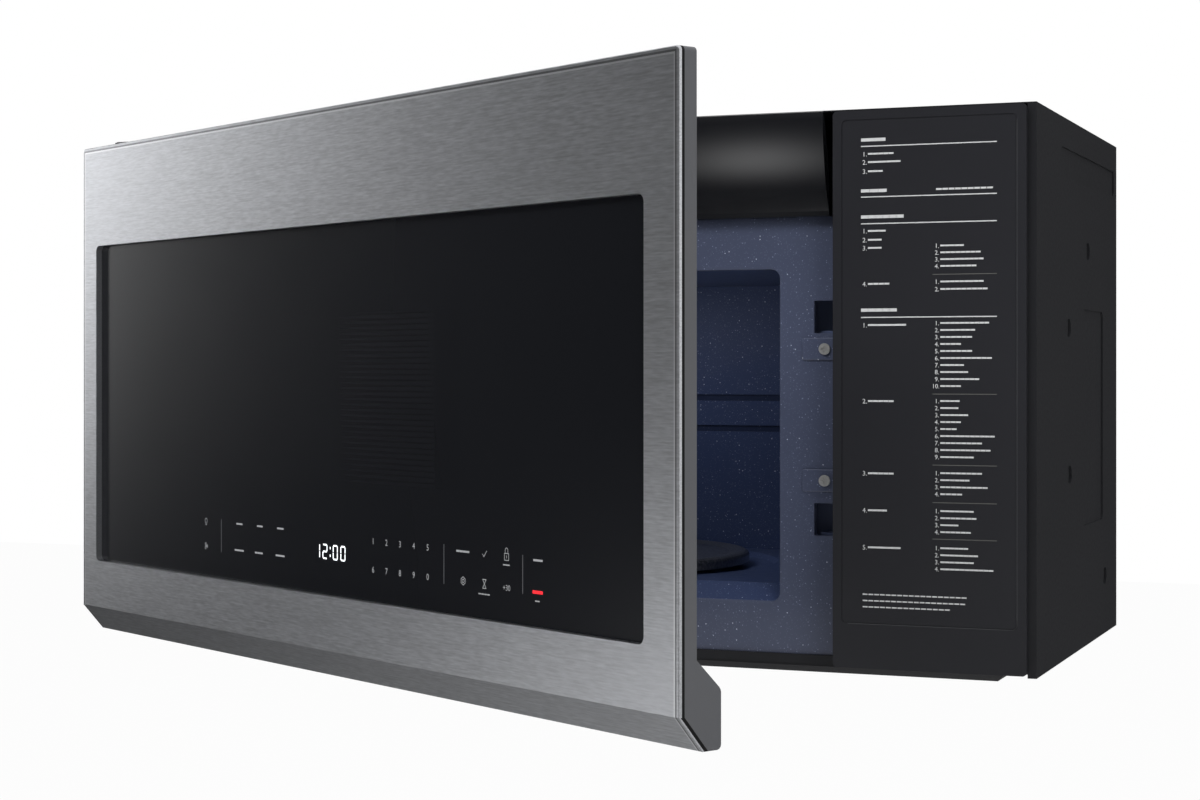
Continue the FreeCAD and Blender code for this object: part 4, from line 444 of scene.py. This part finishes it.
glaze = Finish("tray_glaze", coat_weight=0.6, coat_roughness=0.12)
grit = glaze.noise(420.0, 3.0)
grains = glaze.node("ShaderNodeMapRange", None, {0: grit, 1: 0.35, 2: 0.68, 3: 0.0, 4: 1.0})
glaze.set(colour=glaze.mix(grains, (0.014, 0.015, 0.018, 1), (0.090, 0.094, 0.102, 1)))
glaze.set(roughness=grains * 0.20 + 0.28)
glaze.bump(grains, 0.45, 0.0003)
glaze.cover("turntable_tray")

nylon = Finish("natural_nylon", specular_ior_level=0.4)
nylon.tint(50.0, (0.50, 0.49, 0.45, 1), (0.60, 0.59, 0.55, 1))
nylon.set(roughness=nylon.noise(200.0) * 0.15 + 0.40)
nylon.bump(nylon.noise(900.0), 0.1, 0.0001)
nylon.cover("roller_ring", "roller_a", "roller_b", "roller_c", "drive_coupler", "latch_carrier")

# ------------------------------------------------------------------ door
# The door skin is brushed stainless sheet, folded back at its edges and into the lip at the
# foot.  Its grain runs along the door, which stands turned about its left-hand pin.

DOOR_TURN = -min(joint["range_deg"][0] for joint in frame["joints"] if joint["name"] == "door_swing")
PIN = np.array([-0.3535, -0.3430])
SHUT_EDGE = np.array([-0.3795, -0.3900])
ALONG = np.array([math.cos(math.radians(DOOR_TURN)), -math.sin(math.radians(DOOR_TURN))])
INTO = np.array([math.sin(math.radians(DOOR_TURN)), math.cos(math.radians(DOOR_TURN))])

LEFT_END = float((PIN + (SHUT_EDGE - PIN)[0] * ALONG + (SHUT_EDGE - PIN)[1] * INTO) @ ALONG)
DOOR_WIDE = 0.759
# Bands in from the door's edges, in metres: painted shade over the crease, painted highlight over the
# crest.
CREASE_SHADE = (0.0021, 0.0034)
CREST_HIGHLIGHT = (0.0034, 0.0046)
LIP_FOOT, DOOR_TOP = (corner[2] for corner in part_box("door_skin"))


def on_door(flat, depth):
    """Door places (mm along from its left end, mm up) at a depth behind its face, in metres.

    The shut place turned about the pin: pin + (x - pin x) ALONG + (y - pin y) INTO.
    """
    shut = SHUT_EDGE + np.stack([flat[:, 0], np.full(len(flat), depth)], 1) / 1000.0 - PIN
    ground = PIN + shut[:, :1] * ALONG + shut[:, 1:] * INTO
    return np.column_stack([ground, flat[:, 1] / 1000.0])


def door_axis(finish, axis):
    """Distance along the door (axis 0) or up it (axis 2), in metres."""
    turned = finish.place((1.0, 1.0, 1.0), -DOOR_TURN)
    return finish.node("ShaderNodeSeparateXYZ", None, {0: turned}, axis)


steel = Finish("brushed_stainless", metallic=1.0)
along = steel.place((30.0, 1000.0, 1000.0), -DOOR_TURN)
short = steel.place((110.0, 850.0, 850.0), -DOOR_TURN)
mixed = steel.noise(1.0, 2.0, along) * 0.4 + steel.noise(1.0, 2.0, short) * 0.6
lines = steel.node("ShaderNodeMapRange", None, {0: mixed, 1: 0.32, 2: 0.68, 3: 0.0, 4: 1.0})
wide = door_axis(steel, 0) - LEFT_END
border = wide.math("MINIMUM", wide, DOOR_WIDE - wide)
border = border.math("MINIMUM", border, DOOR_TOP - door_axis(steel, 2))
# Painted shade and painted highlight: a dark band 2.1 to 3.4 mm in from the edges and a pale band 3.4
# to 4.6 mm in, for the fold's crease and crest.
painted_crease_shade = border.between(*CREASE_SHADE)
painted_crest_highlight = border.between(*CREST_HIGHLIGHT)
sheet = steel.mix(lines, (0.465, 0.475, 0.500, 1), (0.665, 0.678, 0.710, 1))
sheet = steel.mix(painted_crease_shade * 0.70, sheet, (0.10, 0.10, 0.11, 1))
steel.set(colour=steel.mix(painted_crest_highlight * 0.60, sheet, (0.95, 0.96, 0.98, 1)))
steel.set(roughness=lines * 0.06 + 0.33)
steel.bump(lines, 0.06, 0.0001)
steel.cover("door_skin")

edging = Finish("edge_plastic", specular_ior_level=0.3)
edging.tint(12.0, (0.112, 0.115, 0.124, 1), (0.134, 0.137, 0.147, 1))
edging.set(roughness=edging.noise(900.0, 0.0) * 0.12 + 0.42)
edging.bump(edging.noise(1300.0, 0.0), 0.15, 0.0001)
edging.cover("door_frame", "door_grip")

# ------------------------------------------------------------------ black core parts
# Moulded matt black pieces of the door and of the inside, the latch board in a pale navy that
# is painted light for the blue glow inside the latch slots, and the black enamelled choke box
# with its perforated screen.

core = Finish("matt_black", specular_ior_level=0.4)
core.tint(20.0, (0.008, 0.008, 0.009, 1), (0.013, 0.013, 0.014, 1))
core.set(roughness=core.noise(700.0) * 0.15 + 0.45)
core.bump(core.noise(1100.0, 0.0), 0.15, 0.0001)
core.cover(
    "door_tray", "choke_cover", "latch_housing", "interlock_switches", "fan_shroud", "cooling_fan",
    "blower_wheels", "cord_gland",
)

# Painted light: this navy is lighter than a real latch moulding, so that the shaded latch slots show
# blue reflected light.
latch_painted_bounce = Finish("latch_painted_bounce", specular_ior_level=0.4)
latch_painted_bounce.tint(30.0, (0.090, 0.115, 0.210, 1), (0.115, 0.145, 0.250, 1))
latch_painted_bounce.set(roughness=latch_painted_bounce.noise(700.0) * 0.15 + 0.40)
latch_painted_bounce.bump(latch_painted_bounce.noise(1100.0, 0.0), 0.15, 0.0001)
latch_painted_bounce.cover("latch_board")

choke = Finish("choke_enamel", coat_weight=0.3)
choke.tint(30.0, (0.012, 0.012, 0.013, 1), (0.020, 0.020, 0.022, 1))
choke.set(roughness=choke.noise(300.0) * 0.15 + 0.25)
choke.bump(choke.noise(400.0), 0.1, 0.0001)
choke.cover("door_choke", "window_screen")

# ------------------------------------------------------------------ door glass
# One tinted black pane with a slightly clearer window in front of the perforated screen, whose
# rows show as faint lines.  Behind it are the clear inner pane and the dark display.

WINDOW_UP = (-0.0625, 0.0530)
WINDOW_ALONG = (0.109, 0.5375)
LINED_ALONG = (0.191, 0.509)

glass = Finish("black_glass", specular_ior_level=0.10)
up = door_axis(glass, 2)
wide = door_axis(glass, 0) - LEFT_END
behind = up.between(*WINDOW_UP) * wide.between(*WINDOW_ALONG)
lined = behind * wide.between(*LINED_ALONG)
rows_of_holes = {"Vector": glass.spot, "Scale": 85.0}
ridge = glass.node("ShaderNodeTexWave", {"bands_direction": "Z"}, rows_of_holes, 1)
black = glass.mix(glass.noise(3.0), (0.0072, 0.0078, 0.0098, 1), (0.0086, 0.0092, 0.0115, 1))
black = glass.mix(behind * 0.15, black, (0.0045, 0.0048, 0.0062, 1))
glass.set(colour=glass.mix(lined * ridge * 0.12, black, (0.022, 0.023, 0.027, 1)))
glass.set(roughness=glass.noise(25.0) * 0.03 + 0.22)
glass.cover("door_glass")

pane = Finish("inner_pane", transmission_weight=0.85, ior=1.45)
pane.tint(6.0, (0.50, 0.51, 0.52, 1), (0.56, 0.57, 0.58, 1))
pane.set(roughness=pane.noise(30.0) * 0.02 + 0.03)
pane.cover("inner_glass")

screen = Finish("display_glass", coat_weight=0.4)
screen.tint(40.0, (0.008, 0.008, 0.010, 1), (0.014, 0.014, 0.016, 1))
screen.set(roughness=screen.noise(60.0) * 0.05 + 0.18)
screen.cover("display_module")

# ------------------------------------------------------------------ touch controls
# Marks printed on the back of the glass and lit from behind: plain numbers, small signs and
# short dashes, beside the clock of seven-bar figures.  Each is a flat mesh on the glass.

INKED = 0.62
CAPITAL = 0.73
PRINT_DEPTH = 4.9
CLOCK_DEPTH = 4.88


def bars(rows, width):
    """Rows of start and end points as flat bars: each end square, half a width past its point."""
    rows = np.array(rows, float)
    start, end = rows[:, :2], rows[:, 2:]
    run = end - start
    run = run / np.linalg.norm(run, axis=1, keepdims=True) * width / 2
    side = np.stack([-run[:, 1], run[:, 0]], 1)
    corners = np.stack([start - run - side, end + run - side, end + run + side, start - run + side], 1)
    faces = np.arange(len(rows) * 4).reshape(-1, 4)
    return corners.reshape(-1, 2), faces.tolist()


def path(points):
    """The rows of start and end that join the points in turn."""
    points = np.array(points, float)
    return np.hstack([points[:-1], points[1:]]).tolist()


def arc(centre, radius, first, last, steps=14):
    """Points round a centre from one angle to another, in degrees."""
    turn = np.radians(np.linspace(first, last, steps))
    return np.stack([centre[0] + radius * np.cos(turn), centre[1] + radius * np.sin(turn)], 1)


def numerals(text, middle, height):
    """Plain figures as flat faces, centred on middle and height tall."""
    letters = bpy.data.curves.new("numerals", "FONT")
    letters.body = text
    letters.align_x = "CENTER"
    letters.resolution_u = 3
    holder = bpy.data.objects.new("numerals", letters)
    bpy.context.scene.collection.objects.link(holder)
    bpy.context.view_layer.update()
    made = bpy.data.meshes.new_from_object(holder.evaluated_get(bpy.context.evaluated_depsgraph_get()))
    flat = np.empty(len(made.vertices) * 3)
    made.vertices.foreach_get("co", flat)
    faces = [list(polygon.vertices) for polygon in made.polygons]
    bpy.data.objects.remove(holder)
    bpy.data.curves.remove(letters)
    bpy.data.meshes.remove(made)
    flat = flat.reshape(-1, 3)[:, :2] * height / CAPITAL
    flat[:, 1] -= height / 2
    return flat + np.array(middle), faces


def dashes(start, width, count):
    """A word stood for by count short dashes that fill its width."""
    left, up = start
    step = width / count
    return [(left + step * n, up, left + step * n + step * INKED, up) for n in range(count)]


def print_marks(name, marks, stand, material):
    """Joins flat marks into one mesh piece, placed by stand(flat points)."""
    points = []
    faces = []
    total = 0
    for flat, patch in marks:
        faces += [[corner + total for corner in face] for face in patch]
        points.append(flat)
        total += len(flat)
    mesh = bpy.data.meshes.new(name)
    mesh.from_pydata(stand(np.concatenate(points)).tolist(), [], faces)
    piece = bpy.data.objects.new(name, mesh)
    bpy.context.scene.collection.objects.link(piece)
    mesh.materials.append(material)
    return piece


def light_ink(name, low, high, glow):
    """White or red ink that its lamp lights a little unevenly, from low to high."""
    ink = Finish(name, roughness=0.5, emission_strength=glow)
    cloud = ink.noise(220.0)
    ink.set(colour=ink.mix(cloud, low, high), emission_color=ink.mix(cloud, low, high))
    return ink.material


def on_glass(flat):
    """Door places on the front of the glass."""
    return on_door(flat, PRINT_DEPTH)


KEY_COLUMNS = (435.7, 452.1, 468.5, 484.9, 501.3)
KEY_HIGH = 4.3
signs = []
for keys, up in (("12345", -100.3), ("67890", -119.3)):
    for figure, left in zip(keys, KEY_COLUMNS):
        signs.append(numerals(figure, (left, up), KEY_HIGH))
signs.append(numerals("+30", (588.6, -119.6), 3.7))

fine_lines = path(arc((201.9, -99.2), 1.7, -60, 240))
fine_lines += path([(201.1, -100.9), (201.1, -102.3), (202.7, -102.3), (202.7, -100.9)])
for turn in (90, 210, 330):
    tip = arc((201.9, -118.2), 2.4, turn, turn + 50, 4)
    fine_lines += path(np.vstack([[(201.9, -118.2)], tip, [(201.9, -118.2)]]))
lock_box = [(586.4, -98.6), (590.8, -98.6), (590.8, -102.8), (586.4, -102.8), (586.4, -98.6)]
lock_loop = arc((588.6, -96.6), 1.4, 180, 0, 9)
fine_lines += path(lock_box)
fine_lines += path(np.vstack([[(587.2, -98.6)], lock_loop, [(590.0, -98.6)]]))
fine_lines += path([(588.6, -100.1), (588.6, -101.4)])
fine_lines += path(arc((541.6, -119.0), 2.6, 30, 390, 7))
fine_lines += path(arc((541.6, -119.0), 1.1, 0, 360, 10))
hourglass = [(563.1, -116.4), (566.7, -116.4), (563.1, -121.9), (566.7, -121.9), (563.1, -116.4)]
fine_lines += path(hourglass)
fine_lines += path([(562.9, -100.6), (564.4, -102.2), (567.3, -98.6)])
signs.append(bars(fine_lines, 0.45))

WORDS = [
    (534.6, -100.4, 14.6, 4), (617.0, -100.7, 9.4, 3), (249.0, -99.0, 9.0, 3),
    (279.5, -99.0, 8.0, 3), (308.5, -99.0, 9.0, 3), (246.5, -118.4, 13.5, 4),
    (276.5, -118.4, 11.5, 3), (306.5, -118.4, 12.5, 4),
]
SMALL_WORDS = [(585.4, -105.7, 7.0, 3), (558.9, -125.6, 12.6, 4), (618.6, -125.4, 4.6, 2)]
for words, thick in ((WORDS, 1.25), (SMALL_WORDS, 0.8)):
    lines = []
    for left, up, width, count in words:
        lines += dashes((left, up), width, count)
    signs.append(bars(lines, thick))
white_ink = light_ink("legend_ink", (0.22, 0.225, 0.235, 1), (0.30, 0.305, 0.315, 1), 0.55)
legend = print_marks("control_signs", signs, on_glass, white_ink)
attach(legend, "door")

rules = [(225.5, -97.4, 225.5, -121.2), (520.0, -97.4, 520.0, -122.3), (605.5, -98.7, 605.5, -121.8)]
grey_ink = light_ink("rule_ink", (0.06, 0.062, 0.068, 1), (0.09, 0.092, 0.10, 1), 0.6)
dividers = print_marks("control_rules", [bars(rules, 0.6)], on_glass, grey_ink)
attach(dividers, "door")

red_ink = light_ink("stop_ink", (0.62, 0.012, 0.020, 1), (0.75, 0.02, 0.03, 1), 0.9)
stop_word = bars(dashes((616.6, -120.0), 9.6, 3), 2.0)
stop = print_marks("stop_sign", [stop_word], on_glass, red_ink)
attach(stop, "door")

FIGURE_HIGH = 9.4
FIGURE_WIDE = 5.4
FIGURE_FOOT = -116.0
BAR_GAP = 0.17
BAR_WIDE = 1.1
SEGMENTS = {
    "top": (0, 1, 1, 1), "upper_right": (1, 1, 1, 0.5), "lower_right": (1, 0.5, 1, 0),
    "foot": (1, 0, 0, 0), "lower_left": (0, 0, 0, 0.5), "upper_left": (0, 0.5, 0, 1),
    "waist": (0, 0.5, 1, 0.5),
}
ROUND = ("top", "upper_right", "lower_right", "foot", "lower_left", "upper_left")
CLOCK = [
    (361.2, ("upper_right", "lower_right")),
    (371.0, ("top", "upper_right", "waist", "lower_left", "foot")),
    (384.6, ROUND),
    (394.6, ROUND),
]
lit_bars = []
for left, lit in CLOCK:
    size = np.array([FIGURE_WIDE, FIGURE_HIGH] * 2)
    corner = np.array([left, FIGURE_FOOT] * 2)
    ends = np.array([SEGMENTS[bar] for bar in lit]) * size + corner
    gap = (ends[:, 2:] - ends[:, :2]) * BAR_GAP
    lit_bars += (ends + np.hstack([gap, -gap])).tolist()
lit_bars += [(380.6, -108.9, 380.6, -108.3), (380.6, -114.1, 380.6, -113.5)]
clock_ink = light_ink("clock_light", (0.86, 0.90, 0.92, 1), (0.96, 0.98, 1.0, 1), 1.0)
clock_bars = bars(lit_bars, BAR_WIDE)
clock = print_marks("clock_figures", [clock_bars], lambda flat: on_door(flat, CLOCK_DEPTH), clock_ink)
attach(clock, "door")

# ------------------------------------------------------------------ door seam
# A black rubber cord pressed into the joint between the rolled steel and the plastic edge.  It
# runs up the free end from the slanted lip and over the top.  The pinned end has none: when the
# door stands wide open the case comes too near.

CORNER = 3.0
STEEL_BACK = 2.2
SEAM_BACK = 4.1
SEAM_PROUD = 0.04
SEAM_DEEP = 0.9
LIP_RISE = 20.5
LIP_RUN = 17.3
LIP_OVERLAP = 0.85
foot = LIP_FOOT * 1000.0
head = DOOR_TOP * 1000.0
fold = foot + LIP_RISE
end = DOOR_WIDE * 1000.0
bend = arc((end - CORNER, head - CORNER), CORNER, 0, 90, 7)
rise = np.vstack([[(end, foot), (end, fold - 1.0), (end, fold)], bend, [(CORNER, head)]])
facing = np.vstack([[(1.0, 0.0)] * 3, (bend - (end - CORNER, head - CORNER)) / CORNER, [(0.0, 1.0)]])
slip = np.maximum(fold - rise[:, 1], 0.0) * LIP_RUN / LIP_RISE
near = STEEL_BACK + slip - LIP_OVERLAP * (slip > 0.0)
far = SEAM_BACK + slip
outer = rise + facing * SEAM_PROUD
inner = rise - facing * SEAM_DEEP
rim = np.stack([outer, outer, inner, inner], 1)
depths = np.stack([near, far, far, near], 1)
first = np.arange(len(rise) - 1)[:, None] * 4
side = np.arange(4)[None, :]
beside = (side + 1) % 4
walls = np.stack([first + side, first + beside, first + 4 + beside, first + 4 + side], 2)
caps = [[0, 1, 2, 3], [len(rise) * 4 - 1 - corner for corner in range(4)]]
mesh = bpy.data.meshes.new("door_seam")
points = on_door(rim.reshape(-1, 2), depths.ravel())
mesh.from_pydata(points.tolist(), [], walls.reshape(-1, 4).tolist() + caps)
outward(mesh)
door_seam = bpy.data.objects.new("door_seam", mesh)
bpy.context.scene.collection.objects.link(door_seam)
rubber = Finish("seam_rubber", specular_ior_level=0.2)
rubber.tint(60.0, (0.0030, 0.0030, 0.0034, 1), (0.0055, 0.0055, 0.0060, 1))
rubber.set(roughness=rubber.noise(500.0) * 0.15 + 0.60)
mesh.materials.append(rubber.material)
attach(door_seam, "door")

# ------------------------------------------------------------------ panel print
# A list printed in white on the fixed panel: headings over long rules, numbered lines in two
# columns.  The words are plain dashes.  The paler line along the engraved outline is a painted
# highlight.

PANEL_FACE = frame["nodes"]["menu_panel"].bound_box[0][1]
PRINT_PROUD = 0.0001
LEFT_COLUMN = 255.6
RIGHT_COLUMN = 308.3
LARGE = 3.5
SMALL = 3.3
FIRST_WIDTHS = (35, 25, 23, 15, 23, 37, 17, 20, 28, 15)
SECOND_WIDTHS = (14, 13, 20, 15, 12, 39, 30, 36, 24)


def on_panel(flat):
    """Panel places (mm right, mm up) just before its face, in metres."""
    before = np.full(len(flat), PANEL_FACE - PRINT_PROUD)
    return np.column_stack([flat[:, 0] / 1000.0, before, flat[:, 1] / 1000.0])


def numbered(left, tops, widths, height):
    """One line each: its number, then the dashes of its words."""
    marks = []
    words = []
    for number, (up, width) in enumerate(zip(tops, widths), 1):
        middle = left + 1.4 - 0.9 * (number > 9)
        marks.append(numerals(str(number) + ".", (middle, up), height))
        words += dashes((left + 4.4, up), width, max(2, round(width / 3.6)))
    marks.append(bars(words, height * 0.36))
    return marks


printed = []
for up, width in ((179.2, 18.0), (142.6, 19.0), (123.9, 31.0), (57.0, 26.0)):
    printed.append(bars(dashes((255.4, up), width, max(3, round(width / 5.5))), 2.3))
for up in (174.6, 138.2, 119.0, 51.8):
    printed.append(bars([(254.6, up, 352.1, up)], 0.75))
printed += numbered(LEFT_COLUMN, (169.1, 163.2, 156.6), (19.0, 24.0, 11.0), LARGE)
printed.append(bars(dashes((309.7, 142.4), 41.0, 9), 1.3))
printed += numbered(LEFT_COLUMN, (113.8, 107.4, 101.6, 75.8), (13.0, 10.0, 10.0, 16.0), LARGE)
printed += numbered(RIGHT_COLUMN, np.linspace(102.3, 87.8, 4), (17.0, 29.0, 31.0, 26.0), SMALL)
printed += numbered(RIGHT_COLUMN, (76.8, 71.5), (31.0, 34.0), SMALL)
printed += numbered(RIGHT_COLUMN, np.linspace(47.4, 2.7, 10), FIRST_WIDTHS, SMALL)
printed += numbered(RIGHT_COLUMN, np.linspace(-7.9, -47.6, 9), SECOND_WIDTHS, SMALL)
printed += numbered(RIGHT_COLUMN, np.linspace(-59.0, -73.9, 4), (30, 21, 34, 16), SMALL)
printed += numbered(RIGHT_COLUMN, np.linspace(-85.9, -100.8, 4), (24, 26, 13, 22), SMALL)
printed += numbered(RIGHT_COLUMN, np.linspace(-112.2, -127.1, 4), (20, 27, 24, 38), SMALL)
GROUPS = [
    (46.3, "1.", 28.0), (-8.2, "2.", 19.0), (-60.0, "3.", 19.0), (-86.5, "4.", 14.0),
    (-113.1, "5.", 24.0),
]
for up, number, width in GROUPS:
    printed.append(numerals(number, (257.0, up), LARGE))
    printed.append(bars(dashes((260.0, up), width, round(width / 3.6)), 1.3))
for up, width in ((-146.9, 76.0), (-151.4, 75.0), (-155.9, 64.0)):
    printed.append(bars(dashes((256.0, up), width, round(width / 4.2)), 0.95))
panel_ink = Finish("panel_ink", roughness=0.55)
panel_ink.tint(400.0, (0.66, 0.67, 0.68, 1), (0.80, 0.81, 0.82, 1))
panel_list = print_marks("panel_list", printed, on_panel, panel_ink.material)
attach(panel_list, "cabinet")

parting = [(306.8, up, 352.1, up) for up in (81.9, -3.0, -53.4, -80.0, -105.9)]
dim_ink = Finish("dim_ink", roughness=0.6)
dim_ink.tint(400.0, (0.10, 0.10, 0.095, 1), (0.13, 0.13, 0.125, 1))
panel_rules = print_marks("panel_rules", [bars(parting, 0.6)], on_panel, dim_ink.material)
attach(panel_rules, "cabinet")

GROOVE_ROUND = 4.0
low, high = (np.array(corner) * 1000.0 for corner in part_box("menu_panel"))
left = low[0] + 7.4
right = high[0] - 6.6
foot = low[2] + 32.0
head = high[2] - 6.6
# Painted highlight: a paler line along the bottom and right of the engraved groove, where its lower
# wall would catch the light.
bend = arc((right - GROOVE_ROUND, foot + GROOVE_ROUND), GROOVE_ROUND, -90, 0, 8)
highlight_path = path(np.vstack([[(left + GROOVE_ROUND, foot)], bend, [(right, head - GROOVE_ROUND)]]))
groove_highlight_ink = Finish("groove_highlight", roughness=0.35)
groove_highlight_ink.tint(60.0, (0.050, 0.052, 0.057, 1), (0.085, 0.088, 0.095, 1))
groove_highlight = print_marks("panel_groove_highlight", [bars(highlight_path, 0.45)], on_panel, groove_highlight_ink.material)
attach(groove_highlight, "cabinet")

# ------------------------------------------------------------------ electrics
# Boards in green solder mask, the transformer's varnished iron, white moulded holders and the
# frosted glass of the cooktop lamps.

mask = Finish("solder_mask", coat_weight=0.3)
track_bricks = {"Vector": mask.spot, "Scale": 90.0, "Mortar Size": 0.03}
tracks = mask.node("ShaderNodeTexBrick", None, track_bricks, 1)
mask.set(colour=mask.mix(tracks, (0.012, 0.085, 0.035, 1), (0.03, 0.15, 0.06, 1)))
mask.set(roughness=mask.noise(80.0) * 0.1 + 0.30)
mask.bump(tracks, 0.2, 0.0001)
mask.cover("touch_board", "power_board")

iron = Finish("varnished_iron", metallic=0.6)
sheets = {"Vector": iron.spot, "Scale": 300.0, "Distortion": 0.6}
layers = iron.node("ShaderNodeTexWave", {"bands_direction": "X"}, sheets)
iron.set(colour=iron.mix(layers, (0.060, 0.055, 0.050, 1), (0.11, 0.105, 0.10, 1)))
iron.set(roughness=layers * 0.15 + 0.40)
iron.bump(layers, 0.3, 0.0002)
iron.cover("transformer")

white_moulding = Finish("white_moulding", specular_ior_level=0.45)
white_moulding.tint(18.0, (0.70, 0.70, 0.67, 1), (0.77, 0.77, 0.74, 1))
white_moulding.set(roughness=white_moulding.noise(600.0) * 0.12 + 0.38)
white_moulding.bump(white_moulding.noise(1000.0, 0.0), 0.1, 0.0001)
white_moulding.cover("cooktop_lamp_modules", "waveguide_cover", "cavity_lamp")

frosted = Finish("frosted_glass", transmission_weight=0.6, ior=1.45)
frosted.tint(30.0, (0.76, 0.76, 0.74, 1), (0.84, 0.84, 0.82, 1))
frosted.set(roughness=frosted.noise(400.0) * 0.2 + 0.40)
frosted.bump(frosted.noise(500.0), 0.3, 0.0002)
frosted.cover("cooktop_lamp_lenses")
